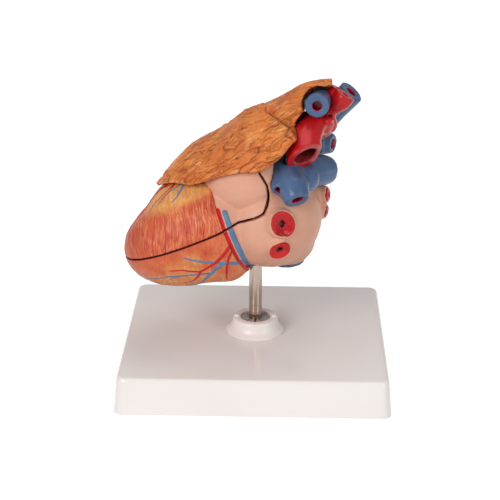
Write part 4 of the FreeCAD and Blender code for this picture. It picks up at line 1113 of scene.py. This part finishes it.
# The lobe's edge is drawn down and towards the apex.
drawn = 2.6 * stepped * free * np.exp(-((lap + 0.5) / 2.6) ** 2)
move_to(gland, places + ways * push[:, None] + np.array((-0.6, 0.0, -0.8)) * drawn[:, None])
# The creases, and the groove beyond the left lobe's edge, are kept for the paint, which darkens them as
# painted shade.
under_lap = soft_step(0.0, 1.2, np.abs(lap - 0.5)) * stepped + 1 - stepped
# Where the gland lies close against the heart is kept for the paint, which darkens it as painted shade.
faces_heart = room_to(near_heart, places + ways * 1.2) < room
keep(gland, "inner", (1 - soft_step(2.0, 5.0, room)) * faces_heart)
keep(gland, "crease", np.minimum(np.minimum(coarse, 0.35 + 0.65 * fine), under_lap))
tan = Finish("painted_thymus", IOR=1.42, Specular_IOR_Level=0.25, Coat_Roughness=0.14, Coat_IOR=1.4)
cloud = tan.place.noise(30.0, 4.0)
mottle = tan.place.noise(85.0, 4.0, 0.6)
grain = tan.place.stretched((330.0, 700.0, 700.0), (0.0, GLAND_PITCH, 0.0)).noise(1.0, 4.0, 0.6, 0.8)
folds = (tan.place.stretched((60.0, 210.0, 210.0), (0.0, GLAND_PITCH, 0.0)).noise(1.0, 1.0, 0.5, 1.2)
         - 0.5).size()
folded = tan.place.noise(45.0, 2.0).between(0.36, 0.52)
crest = tan.kept("crease")
colour = cloud.between(0.36, 0.64).blend(paint(204, 98, 38), paint(230, 136, 64))
colour = (mottle.between(0.52, 0.68) * 0.5).blend(colour, paint(184, 74, 30))
colour = (mottle.between(0.48, 0.32) * 0.6).blend(colour, paint(244, 172, 104))
# Painted shade: darker lines along the fine folds.
colour = (folds.between(0.06, 0.0) * folded * 0.5).blend(colour, paint(160, 64, 18))
# Painted shade: darker brown in the creases and in the groove under the lobe's edge.
colour = (crest.between(0.6, 0.0) * 0.7).blend(colour, paint(142, 52, 14))
colour = (grain.between(0.5, 0.3) * 0.3).blend(colour, paint(176, 76, 22))
# Painted highlights: pale streaks along the gland's grain.
colour = (grain.between(0.58, 0.72) * 0.4).blend(colour, paint(250, 192, 136))
# Painted shade: the side that faces the heart close by is darkened.
inner = tan.kept("inner")
colour = (inner * 0.6).blend(colour, paint(118, 54, 24))
tan.feed("Base Color", colour)
tan.feed("Roughness", cloud * 0.18 + 0.24 + inner * 0.35)
tan.feed("Coat Weight", (1.0 - inner) * 0.3)
tan.relief(folds.least(0.1) * folded * 8.0 + grain * 0.8 + mottle * 1.2 + crest * 0.4, 0.0008, 1.0)
gland.data.materials.append(tan.material)
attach(gland, "thymus")
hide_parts("thymus")

# ------------------------------------------------------------ valves, cords and papillary muscles
# Small inner castings that show when the front wall is off: cream leaflets,
# cream cords and flesh-red muscle fingers.
cream = Finish("painted_valve", IOR=1.45)
cloud = cream.place.noise(120.0, 3.0)
cream.feed("Base Color", cloud.blend(paint(226, 204, 170), paint(238, 222, 196)))
cream.feed("Roughness", cloud * 0.15 + 0.35)
cream.relief(cream.place.noise(500.0, 3.0), 0.0001, 0.6)
finish_nodes(cream, "mitral_valve", "tricuspid_valve", "aortic_valve", "pulmonary_valve",
             "left_chordae", "right_chordae")

fingers = Finish("painted_papillary_muscle", IOR=1.45)
cloud = fingers.place.noise(110.0, 3.0)
fingers.feed("Base Color", cloud.between(0.3, 0.7).blend(paint(188, 82, 66), paint(206, 112, 90)))
fingers.feed("Roughness", cloud * 0.15 + 0.32)
fingers.relief(fingers.place.stretched((700.0, 60.0, 60.0), (0.0, PITCH, 0.0)).noise(1.0, 3.0), 0.0002, 0.7)
finish_nodes(fingers, "left_papillary_muscles", "right_papillary_muscles")
